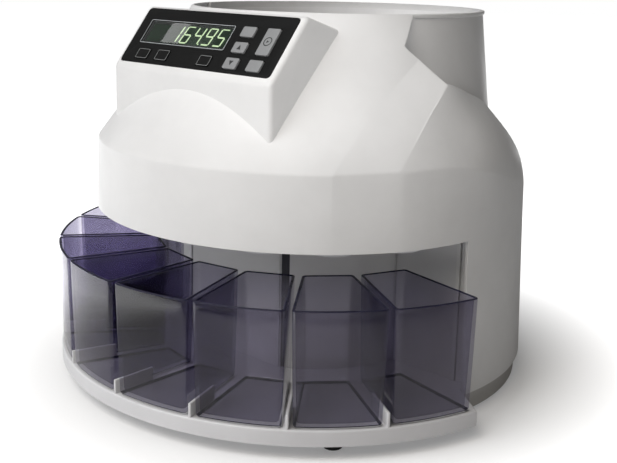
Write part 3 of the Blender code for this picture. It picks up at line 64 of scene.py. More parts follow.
# Outer form of the housing, as in the part.
WALL = 0.0023
WALL_R_FOOT = 0.1550
WALL_R_WAIST = 0.1519
WAIST_Z = 0.1140
WALL_FOOT_Z = HOUSING_LOW.z
COWL_R_EDGE = 0.1540
COWL_EDGE_Z = 0.1177
CREASE_R = 0.1522
CREASE_Z = 0.1649
BAY_HALF_ANGLE = math.radians(82.2)
BLEND_START = math.radians(60.0)
BLEND_END = math.radians(85.0)
RIM_Z = HOUSING_HIGH.z
RIM_R = 0.1047
RIM_SHIFT = 0.0237
RIM_LIP = 0.0013
RIM_LIP_HEIGHT = 0.0025
RIM_LIP_DEPTH = 0.0040
RIM_LIP_ROUND = 0.0008
COLLAR_TAPER = 0.111
WEDGE_HALF_WIDTH = 0.1105
WEDGE_TOP_Z = 0.2275
WEDGE_FOOT = Vector((0.1334, -0.0713, 0.1659))
WEDGE_HEAD = Vector((0.1293, -0.0204, 0.2135))
FAIRING_NOTCH_Z = 0.2352
FAIRING_NOTCH_ANGLE = math.radians(73.3)
FAIRING_TIP_ANGLE = math.radians(81.0)
END_WALL_ANGLE = math.radians(0.8)
SHOULDER_FALL = 0.26
SHOULDER_EDGE = 0.2085
SHOULDER_START = 0.1578
SIDE_PROFILE = ((0.1521, 0.1640), (0.1447, 0.1778), (0.1391, 0.1898), (0.1345, 0.2016), (0.1309, 0.2135))
REAR_PROFILE = ((0.1515, 0.1578), (0.1507, 0.1660), (0.1479, 0.1775), (0.1445, 0.1839), (0.1387, 0.1920),
                (0.1317, 0.1991), (0.1262, 0.2050), (0.1227, 0.2085))
SIDE_END = math.radians(80.0)
REAR_START = math.radians(98.0)
SHOULDER_STEP = 0.0005
WEDGE_SEARCH = (math.radians(30.0), math.radians(89.0))
WEDGE_SEARCH_STEPS = 40
WEDGE_MIDDLE = 0.5
COLLAR_RUN_SHARE = 1 / 13
SLOPE_FOOT_LEVEL = 2.0
SLOPE_TOP_LEVEL = 3.0
COLLAR_FOOT_LEVEL = 4.0

# Rear panel, as in the part.
REAR_HALF_WIDTH = 0.0450
REAR_TOP_Z = 0.0663
REAR_SILL_Z = 0.0240
REAR_PANEL_Y = 0.1434
REAR_PANEL_THICKNESS = 0.0020
REAR_CORNER = 0.0010
REAR_EDGE = 0.0003
REAR_HOLE_CORNER = 0.0002

PORT_LIP = 0.0020
PORT_FLANGE = 0.0020
PORT_WALL = 0.0015
PORT_CORNER = 0.0012
PORT_EDGE = 0.0004
INLET_CORNER = 0.0030
SOCKET_CORNER = 0.0008
ROCKER_DEPTH = 0.0050
ROCKER_CROWN = 0.0022
ROCKER_DISH = 0.00025
ROCKER_EDGE = 0.0004
ROCKER_FACE = (0.08, 0.92)
ROCKER_DOT = (0.0012, 0.0009)
ROCKER_DOT_LIFT = 0.0005
ROCKER_BAR = (0.00018, 0.0012)
ROCKER_BAR_LIFT = 0.00005
ROCKER_BAR_SHARE = 0.72
ROCKER_SIGN_SHARE = 0.55
PIN_OFFSET = 0.0048
PIN_R = 0.0010
PIN_ROUND_SHARE = 0.6
CONTACT_HALF_WIDTH = 0.0002
SERIAL_BLOCK_HALF_WIDTH = 0.0032
SERIAL_BLOCK_FOOT = -0.0008
SERIAL_BLOCK_TOP = 0.0012
SERIAL_BLOCK_DEPTH = 0.0030
SERIAL_BLOCK_EDGE = 0.0003
SOCKET_BORES = {"power_inlet": 0.0140, "display_socket": 0.0110, "serial_socket": 0.0110}
SCREW_COUNT = 6
SCREW_R = 0.0015
SCREW_HEAD_HEIGHT = 0.0020
SCREW_ROUND_SHARE = 0.35
CROSS_HALF_SHARE = 0.13
CROSS_REACH_SHARE = 0.62
FOOT_COUNT = 4
FOOT_ROUND = 0.0006
FOOT_GROOVE = ((0.45, 0.0), (0.50, 0.0008), (0.62, 0.0008), (0.66, 0.0))

# Camera and floor.
CAMERA_PLACE = (0.4865, -0.5273, 0.2840)
CAMERA_ANGLES = (42.006, 12.166, 1.217)
CAMERA_LENS = 59.30
CAMERA_SHIFT = (-0.0058, -0.0777)
FLOOR_LIFT = 0.20
FLOOR_NEAR = 0.165
FLOOR_FAR = 0.265
FLOOR_DARK_X = -0.14
FLOOR_BRIGHT_X = -0.36
FLOOR_R = 6.0
FLOOR_THICKNESS = 0.02
LIGHT_AIM = Vector((0.0, 0.0, 0.12))
LIGHT_DISTANCE = 2.0
LIGHT_SIZE = 1.2
KEY_LIGHT_ANGLES = (math.radians(-30.0), math.radians(25.0))
HIGH_LIGHT_ANGLES = (math.radians(-20.0), math.radians(55.0))
FILL_LIGHT_ANGLES = (math.radians(18.0), math.radians(48.0))
COOL_LIGHT = (0.965, 0.98, 1.0)
GLARE_ANGLES = (math.radians(-78.7), math.radians(35.6))
SPOT_ANGLES = (math.radians(62.0), math.radians(40.0))
SPOT_AIM = Vector((0.074, -0.066, 0.210))
SPOT_REACH = 0.11
SPOT_RADIUS = 0.05
GLARE_AIM = Vector((-0.020, -0.089, 0.238))
GLARE_SIZE = 0.26
GLARE_ROLL = math.radians(39.3)

# Control pod and panel.
POD_HALF_WIDTH = 0.0743
POD_FRONT_Y = -0.1201
POD_FOOT_Z = 0.1720
POD_REAR_Y = -0.0500
POD_TOP_Y = -0.0892
POD_TOP_Z = 0.2540
POD_TOP_FALL = 0.306
POD_CAVITY_FOOT_Z = 0.1900
POD_WALL = 0.0025
PANEL_TILT = math.radians(51.62)
PANEL_Y = -0.1178
PANEL_Z = 0.2184
PANEL_HALF_WIDTH = 0.0704
PANEL_LENGTH = 0.0436
PANEL_CORNER = 0.0030
PANEL_PLACE = Matrix.Translation((0.0, PANEL_Y, PANEL_Z)) @ Matrix.Rotation(PANEL_TILT, 4, "X")
OVERLAY_THICKNESS = 0.0013
OVERLAY_PROUD = 0.0003
OVERLAY_EDGE = 0.0002
WINDOW = (-0.0606, 0.0160, 0.0203, 0.0338)
WINDOW_LEDGE = 0.0015
WINDOW_EDGE = 0.0001
LINE_CORNER = 0.0002
KEYS = {
    "key_top": (0.0289, 0.0265, 0.0403, 0.0340),
    "key_up": (0.0288, 0.0146, 0.0401, 0.0223),
    "key_down": (0.0287, 0.0028, 0.0399, 0.0106),
    "key_start": (0.0499, 0.0145, 0.0606, 0.0340),
    "key_low": (0.0490, 0.0026, 0.0603, 0.0107),
    "key_left": (-0.0566, 0.0030, -0.0448, 0.0108),
    "key_mid": (-0.0370, 0.0031, -0.0254, 0.0112),
    "key_right": (0.0042, 0.0028, 0.0153, 0.0106),
}
DARK_KEYS = ("key_left", "key_mid", "key_right")
KEY_PROUD = 0.0010
DARK_KEY_PROUD = 0.0004
KEY_CORNER = 0.0010
KEY_EDGE = 0.0003
RING_STROKE = 0.0006
RING_SHARE = 0.95
DOT_SHARE = 0.26
DOT_HEIGHT_SHARE = 1.1
DOT_REACH_SHARE = 1.2
KEY_FLANGE = 0.0012
KEY_FLANGE_THICKNESS = 0.0010
PRINT_THICKNESS = 0.00006
LINE_MARGIN = 0.0004
DIGIT_THICKNESS = 0.00015
DIGIT_RIGHT = 0.0064
DIGIT_LIFT = 0.0006
DIGIT_STROKE_SHARE = 0.075
DIGIT_WIDTH_SHARE = 0.56
DIGIT_PITCH_SHARE = 0.78
SEGMENT_GAP_SHARE = 0.12
POINT_SHARE = 0.55
POINT_GAP_SHARE = 0.9
POINT_SIDES = 12
MASK_CORNER = 0.0007
MASK_FOOT = 0.00022
MASK_TOP = 0.00007
DISPLAY_BOARD_DEPTH = 0.0095
DISPLAY_MODULE_HEIGHT = 0.0047
DISPLAY_MODULE_EDGE = 0.0004

# Base, bay, cups and deck.
TRAY_R = 0.1809
TRAY_HALF_ANGLE = math.radians(77.1)
TRAY_TOP = 0.0193
TRAY_FOOT = 0.0092
BASE_SKIRT_FOOT = 0.0030
BASE_THICKNESS = 0.0025
BASE_R = 0.1519
# Height of the near-black band just under the housing's foot: painted shadow of the gap there.
SEAM_SHADOW_HEIGHT = 0.0010
BASE_ROUND_START = 0.2
RIB_THICKNESS = 0.0018
RIB_HEIGHT = 0.0090
RIB_INNER_R = 0.1500
RIB_SETBACK = 0.0006
RIB_EDGE = 0.0005
CUP_COUNT = 8
CUP_PITCH = math.radians(19.14)
CUP_INNER_R = 0.1108
CUP_OUTER_R = 0.1788
CUP_BULGE = 0.0034
CUP_FRONT_CORNER = 0.0030
CUP_REAR_CORNER = 0.0026
CUP_RIM_Z = CUP_HIGH.z
CUP_FOOT = CUP_LOW.z
CUP_WALL = 0.0018
CUP_DRAFT = 0.0015
CUP_FOOT_ROUND = 0.0025
CUP_LIP = 0.0006
CUP_LIP_EASE = 0.3
CUP_RIM_SHARE = 0.9
# Band above a cup's foot that takes the rim's dark colour: painted shade in place of light bent and absorbed
# in the thick clear edge.
CUP_FOOT_SHADE = (0.0003, 0.0013)
BAY_WALL = 0.0022
BAY_SIDE_Y = -0.0102
BAY_BACK_R = 0.0865
BAY_FLAT_HALF = 0.0428
BAY_END_X = 0.1485
BAY_SEAM_WIDTH = 0.0008
BAY_SEAM_DEPTH = 0.0014
BAY_GAP_ANGLE = math.radians(4.4)
BAY_RIB_X = 0.1376
BAY_RIB_WIDTH = 0.0026
BAY_RIB_PROUD = 0.0008
DECK_R = 0.1480
DECK_FOOT = 0.1195
DECK_TOP = 0.1220
CHUTE_R = 0.1265
CHUTE_OUTER = 0.0163
CHUTE_WALL = 0.0015
CHUTE_DROP = 0.0065
CHUTE_EDGE = 0.0006
CHUTE_FOOT = DECK_FOOT - CHUTE_DROP

CUP_OUTER_GAP = 0.00165
CUP_INNER_GAP = 0.00228
CUP_BULGE_SHARE = 0.75
CUP_OUTER_HALF = CUP_OUTER_R * math.tan(CUP_PITCH / 2) - CUP_OUTER_GAP
CUP_INNER_HALF = CUP_INNER_R * math.tan(CUP_PITCH / 2) - CUP_INNER_GAP
CUP_BULGE_R = CUP_BULGE_SHARE * CUP_OUTER_HALF * CUP_OUTER_HALF / CUP_BULGE
SHAFT_R = 0.0040
SHAFT_SEAT_R = 0.0065
SEAT_R = 0.0144
SEAT_FOOT = 0.1113
DECK_POSTS = ((0.0700, -0.0300), (0.0600, 0.1000))
DECK_POST_R = 0.0050
BOARD_POST_R = 0.0030
BOARD_POST_HEIGHT = 0.0060
POST_EDGE = 0.0005
BOARD_INSET = 0.0050
MAIN_BOARD = (0.0450, 0.0030, 0.1190, 0.0700)
POWER_BOARD = (-0.1150, 0.0030, -0.0450, 0.0650)

# Hopper, disc and cap.
BOWL_WALL = 0.0020
BOWL_EDGE = 0.0005
BOWL_ROWS = 10
BOWL_FOOT_Z = 0.1345
BOWL_FOOT_R = 0.0980
BOWL_TOP_Z = 0.2500
BOWL_TOP_R = RIM_R - RIM_LIP + COLLAR_TAPER * (RIM_Z - BOWL_TOP_Z) - WALL - 0.0003
DISC_FOOT = 0.1260
DISC_TOP = 0.1290
DISC_R = 0.1045
DISC_EDGE = 0.0006
DISC_FOOT_EDGE = 0.0004
GROOVE_COUNT = 10
GROOVE_HALF_WIDTH = 0.0006
GROOVE_DEPTH = 0.0005
GROOVE_SHARES = (0.25, 0.92)
DISC_BOSS_R = 0.0120
DISC_BOSS_HEIGHT = 0.0068
FINGER_WIDTH = 0.0060
FINGER_INNER_R = 0.0990
FINGER_OUTER_R = 0.1410
FINGER_HEIGHT = 0.0032
FINGER_EDGE = 0.0010
CAP_R = 0.0170
CAP_HEIGHT = 0.0120
CAP_ROUND = 0.0035
CAP_SIDE_SHARE = 0.4
CAP_TOP_SHARE = 0.72

# Shares and seeds of the finishes and copies.
TURN_SEED = 7
WORN_SHARE = 0.94
DISC_WORN_SHARE = 0.85
DIM_SHARE = 0.9
UNLIT_SHARE = 0.3
LIT_PATCH = 0.004
EDGE_BLEND = 0.22
PAST_SHARE = 0.7
SHADE_SHARE = 0.88

# Clearances and counts.
CLEARANCE = 0.0003
OVERLAP = 0.0005
OVERRUN = 0.02
MERGE = 0.00001
AXIS_R = 0.0001
FINE_AXIS_R = 0.00005
CORNER_REACH = 0.45
ROUND = 48
WIDE_ROUND = 160
SMALL_ROUND = 24
ON_ITS_BACK = Matrix.Rotation(math.radians(90.0), 4, "X")
CUP_ANGLES = tuple((i - (CUP_COUNT - 1) / 2) * CUP_PITCH for i in range(CUP_COUNT))


def around(radius, angle, z=0.0):
    return Vector((radius * math.sin(angle), -radius * math.cos(angle), z))


def lerp(a, b, t):
    return a + (b - a) * t


def smooth_step(a, b, x):
    t = min(max((x - a) / (b - a), 0.0), 1.0)
    return t * t * (3 - 2 * t)


# Meshes

def from_bmesh(name, bm, recalculate=True):
    if recalculate:
        bmesh.ops.recalc_face_normals(bm, faces=bm.faces)
    mesh = bpy.data.meshes.new(name)
    bm.to_mesh(mesh)
    bm.free()
    return mesh


def box_mesh(x0, y0, z0, x1, y1, z1, round_edges=0.0):
    bm = bmesh.new()
    size = Matrix.Diagonal((x1 - x0, y1 - y0, z1 - z0, 1.0))
    middle = Matrix.Translation(((x0 + x1) / 2, (y0 + y1) / 2, (z0 + z1) / 2))
    bmesh.ops.create_cube(bm, size=1.0, matrix=middle @ size)
    if round_edges:
        bmesh.ops.bevel(bm, geom=bm.edges[:], offset=round_edges, segments=3, profile=0.5, affect="EDGES")
    return from_bmesh("box", bm)


def loft_mesh(rings, closed_loop=False):
    """Skin over rings of points; the ends are capped, or joined to each other."""
    bm = bmesh.new()
    rows = [[bm.verts.new(p) for p in ring] for ring in rings]
    count = len(rows[0])
    pairs = list(zip(rows, rows[1:]))
    if closed_loop:
        pairs.append((rows[-1], rows[0]))
    for low, high in pairs:
        for i in range(count):
            j = (i + 1) % count
            bm.faces.new((low[i], low[j], high[j], high[i]))
    if not closed_loop:
        bm.faces.new(rows[0][::-1])
        bm.faces.new(rows[-1])
    return from_bmesh("loft", bm)


def turned_mesh(profile, at=(0.0, 0.0), segments=ROUND, closed_loop=False):
    """Turned shape of radius and height points, capped at its ends or closed like a ring."""
    turn = 2 * math.pi / segments
    rings = [[(at[0] + r * math.cos(i * turn), at[1] + r * math.sin(i * turn), z) for i in range(segments)]
             for r, z in profile]
    return loft_mesh(rings, closed_loop)


def rounded_profile(points, radius, steps=4, closed=False):
    """Points of radius and height with each inner corner eased by a short curve."""
    eased = []
    count = len(points)
    for i, point in enumerate(points):
        if not closed and i in (0, count - 1):
            eased.append(tuple(point))
            continue
        here = Vector(point)
        back = Vector(points[i - 1]) - here
        ahead = Vector(points[(i + 1) % count]) - here
        reach = min(radius, back.length * CORNER_REACH, ahead.length * CORNER_REACH)
        first = here + back.normalized() * reach
        last = here + ahead.normalized() * reach
        for k in range(steps + 1):
            t = k / steps
            eased.append(tuple(first.lerp(here, t).lerp(here.lerp(last, t), t)))
    return eased


def plate_mesh(outlines, z0, z1, edge=0.0, edge_steps=2):
    """Flat plate with a rounded edge, with the first outline as its border and the rest as holes."""
    curve = bpy.data.curves.new("outline", "CURVE")
    curve.dimensions = "2D"
    curve.fill_mode = "BOTH"
    curve.extrude = (z1 - z0) / 2 - edge
    curve.bevel_depth = edge
    curve.bevel_resolution = edge_steps
    curve.offset = -edge
    for outline in outlines:
        spline = curve.splines.new("POLY")
        spline.points.add(len(outline) - 1)
        for point, (x, y) in zip(spline.points, outline):
            point.co = (x, y, 0.0, 1.0)
        spline.use_cyclic_u = True
    holder = bpy.data.objects.new("outline", curve)
    bpy.context.scene.collection.objects.link(holder)
    mesh = bpy.data.meshes.new_from_object(holder.evaluated_get(bpy.context.evaluated_depsgraph_get()))
    bpy.data.objects.remove(holder, do_unlink=True)
    bm = bmesh.new()
    bm.from_mesh(mesh)
    bmesh.ops.remove_doubles(bm, verts=bm.verts, dist=MERGE)
    bmesh.ops.translate(bm, verts=bm.verts, vec=(0.0, 0.0, (z0 + z1) / 2))
    bpy.data.meshes.remove(mesh)
    return from_bmesh("plate", bm)


def joined(meshes):
    """One mesh of several, each given as a mesh or as a mesh with a material number."""
    bm = bmesh.new()
    for entry in meshes:
        mesh, number = entry if isinstance(entry, tuple) else (entry, 0)
        start = len(bm.faces)
        bm.from_mesh(mesh)
        bm.faces.ensure_lookup_table()
        for face in bm.faces[start:]:
            face.material_index = number
        bpy.data.meshes.remove(mesh)
    return from_bmesh("joined", bm, recalculate=False)


def moved(mesh, matrix):
    mesh.transform(matrix)
    return mesh


def arc(radius, start, end, steps):
    return [tuple(around(radius, lerp(start, end, i / steps)).xy) for i in range(steps + 1)]


def circle(radius, at=(0.0, 0.0), segments=ROUND):
    turn = 2 * math.pi / segments
    return [(at[0] + radius * math.cos(i * turn), at[1] + radius * math.sin(i * turn))
            for i in range(segments)]


def rounded(corners, radii, steps=8):
    """Outline through the corners with a round of its own radius at each."""
    outline = []
    count = len(corners)
    for i, radius in enumerate(radii):
        here = Vector(corners[i])
        back = (Vector(corners[i - 1]) - here).normalized()
        ahead = (Vector(corners[(i + 1) % count]) - here).normalized()
        half = back.angle(ahead) / 2
        reach = radius / math.tan(half)
        middle = here + (back + ahead).normalized() * (radius / math.sin(half))
        first = here + back * reach - middle
        last = here + ahead * reach - middle
        sweep = first.angle_signed(last)
        for k in range(steps + 1):
            point = first.copy()
            point.rotate(Matrix.Rotation(-sweep * k / steps, 2))
            outline.append(tuple(middle + point))
    return outline


def moved_in(corners, inset):
    """The corners of a shape that runs anticlockwise, each side moved inwards by as much."""
    result = []
    for i, corner in enumerate(corners):
        here = Vector(corner)
        before = (here - Vector(corners[i - 1])).normalized()
        after = (Vector(corners[(i + 1) % len(corners)]) - here).normalized()
        normals = Vector((-before.y, before.x)), Vector((-after.y, after.x))
        result.append(here + (normals[0] + normals[1]) * inset / (1.0 + normals[0].dot(normals[1])))
    return result


def rounded_box(x0, y0, x1, y1, radius, steps=6):
    return rounded(((x0, y0), (x1, y0), (x1, y1), (x0, y1)), (radius,) * 4, steps)


def grown(rect, by):
    x0, y0, x1, y1 = rect
    return (x0 - by, y0 - by, x1 + by, y1 + by)


def scratch_object(mesh):
    obj = bpy.data.objects.new("scratch", mesh)
    bpy.context.scene.collection.objects.link(obj)
    return obj


def evaluated_mesh(obj):
    """The object's mesh with its modifiers applied; the object itself is removed."""
    bpy.context.view_layer.update()
    mesh = bpy.data.meshes.new_from_object(obj.evaluated_get(bpy.context.evaluated_depsgraph_get()))
    bpy.data.objects.remove(obj, do_unlink=True)
    return mesh


def combined(mesh, others, operation):
    """The mesh with every other one added to it or cut from it."""
    target = scratch_object(mesh)
    tools = []
    for other in others:
        tool = scratch_object(other)
        tools.append(tool)
        modifier = target.modifiers.new(operation, "BOOLEAN")
        modifier.operation = operation
        modifier.solver = "MANIFOLD"
        modifier.object = tool
    result = evaluated_mesh(target)
    for tool in tools:
        bpy.data.objects.remove(tool, do_unlink=True)
    return result


def subdivided(mesh, levels):
    obj = scratch_object(mesh)
    modifier = obj.modifiers.new("Subdivision", "SUBSURF")
    modifier.levels = levels
    modifier.render_levels = levels
    return evaluated_mesh(obj)


def softened(mesh, width, segments=2, angle=40.0):
    obj = scratch_object(mesh)
    modifier = obj.modifiers.new("Bevel", "BEVEL")
    modifier.width = width
    modifier.segments = segments
    modifier.limit_method = "ANGLE"
    modifier.angle_limit = math.radians(angle)
    modifier.harden_normals = False
    return evaluated_mesh(obj)


def piece(name, mesh, materials, body, nodes=(), smooth=35.0):
    """A finished piece: its materials, its shading, its body and the nodes that it stands for."""
    mesh.name = name
    numbers = [face.material_index for face in mesh.polygons]
    mesh.materials.clear()
    for material in materials:
        mesh.materials.append(material)
    mesh.polygons.foreach_set("material_index", numbers)
    if smooth:
        mesh.shade_smooth()
        mesh.set_sharp_from_angle(angle=math.radians(smooth))
    obj = bpy.data.objects.new(name, mesh)
    bpy.context.scene.collection.objects.link(obj)
    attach(obj, body)
    if nodes:
        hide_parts(*nodes)
    return obj


# Geometry node trees

def copying_tree(name, inputs):
    """A geometry tree with its named inputs, and its entry and exit."""
    tree = bpy.data.node_groups.new(name, "GeometryNodeTree")
    for label, kind in inputs:
        tree.interface.new_socket(label, in_out="INPUT", socket_type=kind)
    tree.interface.new_socket("Mesh", in_out="OUTPUT", socket_type="NodeSocketGeometry")
    return tree, tree.nodes.new("NodeGroupInput"), tree.nodes.new("NodeGroupOutput")


def end_tree(tree, entry, leave, place):
    """Makes the tree's copies real, with the finish on them."""
    nodes, link = tree.nodes, tree.links.new
    realize = nodes.new("GeometryNodeRealizeInstances")
    finished = nodes.new("GeometryNodeSetMaterial")
    link(place.outputs[0], realize.inputs[0])
    link(realize.outputs[0], finished.inputs["Geometry"])
    link(entry.outputs["Finish"], finished.inputs["Material"])
    link(finished.outputs[0], leave.inputs["Mesh"])
    return tree


def copies_tree():
    """Copies of a mesh turned round the upright axis, one pitch apart."""
    tree, entry, leave = copying_tree("Copies round the spindle", (
        ("Mesh", "NodeSocketGeometry"), ("Count", "NodeSocketInt"), ("Pitch", "NodeSocketFloat"),
        ("Start", "NodeSocketFloat"), ("Finish", "NodeSocketMaterial")))
    nodes, link = tree.nodes, tree.links.new
    points = nodes.new("GeometryNodeMeshLine")
    points.inputs["Offset"].default_value = (0.0, 0.0, 0.0)
    index = nodes.new("GeometryNodeInputIndex")
    angle = nodes.new("ShaderNodeMath")
    angle.operation = "MULTIPLY_ADD"
    turn = nodes.new("ShaderNodeCombineXYZ")
    place = nodes.new("GeometryNodeInstanceOnPoints")
    link(entry.outputs["Count"], points.inputs["Count"])
    link(index.outputs[0], angle.inputs[0])
    link(entry.outputs["Pitch"], angle.inputs[1])
    link(entry.outputs["Start"], angle.inputs[2])
    link(angle.outputs[0], turn.inputs["Z"])
    link(points.outputs[0], place.inputs["Points"])
    link(entry.outputs["Mesh"], place.inputs["Instance"])
    link(turn.outputs[0], place.inputs["Rotation"])
    return end_tree(tree, entry, leave, place)


def spots_tree():
    """The same item at each spot of a mesh's corners, upright and turned by chance."""
    tree, entry, leave = copying_tree("One at each spot", (
        ("Spots", "NodeSocketGeometry"), ("Item", "NodeSocketObject"), ("Spread of turn", "NodeSocketFloat"),
        ("Finish", "NodeSocketMaterial")))
    nodes, link = tree.nodes, tree.links.new
    item = nodes.new("GeometryNodeObjectInfo")
    turn = nodes.new("FunctionNodeRandomValue")
    turn.data_type = "FLOAT"
    turn.inputs["Seed"].default_value = TURN_SEED
    angle = nodes.new("ShaderNodeCombineXYZ")
    place = nodes.new("GeometryNodeInstanceOnPoints")
    link(entry.outputs["Item"], item.inputs["Object"])
    link(entry.outputs["Spread of turn"], turn.inputs[3])
    link(turn.outputs[1], angle.inputs["Z"])
    link(entry.outputs["Spots"], place.inputs["Points"])
    link(item.outputs["Geometry"], place.inputs["Instance"])
    link(angle.outputs[0], place.inputs["Rotation"])
    return end_tree(tree, entry, leave, place)


def grown_by_tree(mesh, tree, values):
    """The mesh that a node tree makes of the given mesh, with the tree's inputs set by name."""
    obj = scratch_object(mesh)
    modifier = obj.modifiers.new("Repeat", "NODES")
    modifier.node_group = tree
    for socket in tree.interface.items_tree:
        if socket.in_out == "INPUT" and socket.name in values:
            modifier[socket.identifier] = values[socket.name]
    return evaluated_mesh(obj)


def copies_round(mesh, count, pitch, start, material):
    values = {"Count": count, "Pitch": pitch, "Start": start, "Finish": material}
    return grown_by_tree(mesh, copies_tree(), values)


def one_at_each(spots, item_mesh, spread, material):
    """Copies of the item at each spot, given as points."""
    bm = bmesh.new()
    for spot in spots:
        bm.verts.new(spot)
    mesh = from_bmesh("spots", bm, recalculate=False)
    item = scratch_object(item_mesh)
    result = grown_by_tree(mesh, spots_tree(), {"Item": item, "Spread of turn": spread, "Finish": material})
    bpy.data.objects.remove(item, do_unlink=True)
    return result


# Shader nodes

def feed(link, socket, value):
    """Sets a socket to a plain value, or links it where the value is a socket."""
    if isinstance(value, bpy.types.NodeSocket):
        link(value, socket)
    else:
        socket.default_value = value


def sum_node(nodes, link, operation, first, second):
    """Result of one sum on two values, each a number or a socket."""
    node = nodes.new("ShaderNodeMath")
    node.operation = operation
    feed(link, node.inputs[0], first)
    feed(link, node.inputs[1], second)
    return node.outputs[0]


def span_node(nodes, link, value, low=0.0, high=1.0, start=0.0, end=1.0):
    """A number that runs from low to high while the value runs from start to end."""
    node = nodes.new("ShaderNodeMapRange")
    link(value, node.inputs["Value"])
    for label, bound in (("To Min", low), ("To Max", high), ("From Min", start), ("From Max", end)):
        feed(link, node.inputs[label], bound)
    return node.outputs[0]


def colour_node(nodes, link, factor, low, high):
    """A colour that runs from one to another as the factor rises."""
    node = nodes.new("ShaderNodeMix")
    node.data_type = "RGBA"
    link(factor, node.inputs["Factor"])
    feed(link, node.inputs[6], low)
    feed(link, node.inputs[7], high)
    return node.outputs[2]


def noise_node(nodes, link, size, detail, roughness=0.5):
    """Noise over the object, with blotches of about the given size."""
    place = nodes.new("ShaderNodeTexCoord")
    noise = nodes.new("ShaderNodeTexNoise")
    noise.inputs["Detail"].default_value = detail
    noise.inputs["Roughness"].default_value = roughness
    link(place.outputs["Object"], noise.inputs["Vector"])
    link(sum_node(nodes, link, "DIVIDE", 1.0, size), noise.inputs["Scale"])
    return noise.outputs[0]


def group_node(nodes, tree, values):
    """A node that holds a shader group, with its inputs set by name."""
    node = nodes.new("ShaderNodeGroup")
    node.node_tree = tree
    for label, value in values.items():
        node.inputs[label].default_value = value
    return node


# Shader groups and materials

def shader_group(name, inputs, outputs):
    """An empty shader group with its sockets, and its entry and exit."""
    group = bpy.data.node_groups.new(name, "ShaderNodeTree")
    for label, kind, value in inputs:
        socket = group.interface.new_socket(label, in_out="INPUT", socket_type=kind)
        socket.default_value = value
    for label, kind in outputs:
        group.interface.new_socket(label, in_out="OUTPUT", socket_type=kind)
    return group, group.nodes.new("NodeGroupInput"), group.nodes.new("NodeGroupOutput")


def fine_surface_group():
    """Moulded skin: fine grain over slow waves, as a normal and as a mask of its highs."""
    name = "Fine surface"
    if name in bpy.data.node_groups:
        return bpy.data.node_groups[name]
    group, entry, leave = shader_group(
        name,
        (("Grain size", "NodeSocketFloat", 0.0006), ("Grain depth", "NodeSocketFloat", 0.00001),
         ("Wave size", "NodeSocketFloat", 0.02), ("Wave depth", "NodeSocketFloat", 0.00004)),
        (("Normal", "NodeSocketVector"), ("Mask", "NodeSocketFloat")))
    nodes, link = group.nodes, group.links.new
    grain = noise_node(nodes, link, entry.outputs["Grain size"], 2.0)
    waves = noise_node(nodes, link, entry.outputs["Wave size"], 3.0)
    fine = sum_node(nodes, link, "MULTIPLY", grain, entry.outputs["Grain depth"])
    slow = sum_node(nodes, link, "MULTIPLY", waves, entry.outputs["Wave depth"])
    bump = nodes.new("ShaderNodeBump")
    bump.inputs["Distance"].default_value = 1.0
    link(sum_node(nodes, link, "ADD", fine, slow), bump.inputs["Height"])
    link(bump.outputs[0], leave.inputs["Normal"])
    link(waves, leave.inputs["Mask"])
    return group


def handling_group():
    """Slow patches of handling and dust: a colour that drifts between two, and a roughness."""
    name = "Handling"
    if name in bpy.data.node_groups:
        return bpy.data.node_groups[name]
    group, entry, leave = shader_group(
        name,
        (("Colour", "NodeSocketColor", (0.8, 0.8, 0.8, 1.0)),
         ("Worn colour", "NodeSocketColor", (0.7, 0.7, 0.7, 1.0)),
         ("Dust colour", "NodeSocketColor", (0.5, 0.5, 0.48, 1.0)), ("Patch size", "NodeSocketFloat", 0.05),
         ("Dust", "NodeSocketFloat", 0.05), ("Smooth", "NodeSocketFloat", 0.3),
         ("Rough", "NodeSocketFloat", 0.4)),
        (("Colour", "NodeSocketColor"), ("Roughness", "NodeSocketFloat")))
    nodes, link = group.nodes, group.links.new
    patches = noise_node(nodes, link, entry.outputs["Patch size"], 5.0, 0.6)
    share = span_node(nodes, link, patches, start=0.35, end=0.68)
    worn = colour_node(nodes, link, share, entry.outputs["Colour"], entry.outputs["Worn colour"])
    facing = nodes.new("ShaderNodeNewGeometry")
    split = nodes.new("ShaderNodeSeparateXYZ")
    link(facing.outputs["Normal"], split.inputs[0])
    up = span_node(nodes, link, split.outputs["Z"], start=0.6)
    lying = sum_node(nodes, link, "MULTIPLY", up, patches)
    amount = sum_node(nodes, link, "MULTIPLY", lying, entry.outputs["Dust"])
    link(colour_node(nodes, link, amount, worn, entry.outputs["Dust colour"]), leave.inputs["Colour"])
    rough = span_node(nodes, link, share, entry.outputs["Smooth"], entry.outputs["Rough"])
    link(rough, leave.inputs["Roughness"])
    return group


def new_material(name):
    material = bpy.data.materials.new(name)
    material.use_nodes = True
    nodes = material.node_tree.nodes
    return material, nodes, material.node_tree.links.new, nodes["Principled BSDF"]


def finish(name, colour, worn=None, smooth=0.3, rough=0.4, metallic=0.0, dust=0.06, patch=0.05, grain=0.0006,
           grain_depth=0.000012, wave=0.02, wave_depth=0.00003, specular=0.5):
    """A moulded, painted or metal finish made of the two shader groups."""
    material, nodes, link, surface = new_material(name)
    skin = group_node(nodes, fine_surface_group(), {
        "Grain size": grain, "Grain depth": grain_depth, "Wave size": wave, "Wave depth": wave_depth})
    worn = worn or [c * WORN_SHARE for c in colour]
    touch = group_node(nodes, handling_group(), {
        "Colour": (*colour, 1.0), "Worn colour": (*worn, 1.0), "Patch size": patch, "Dust": dust,
        "Smooth": smooth, "Rough": rough})
    link(touch.outputs["Colour"], surface.inputs["Base Color"])
    link(touch.outputs["Roughness"], surface.inputs["Roughness"])
    link(skin.outputs["Normal"], surface.inputs["Normal"])
    surface.inputs["Metallic"].default_value = metallic
    surface.inputs["Specular IOR Level"].default_value = specular
    return material


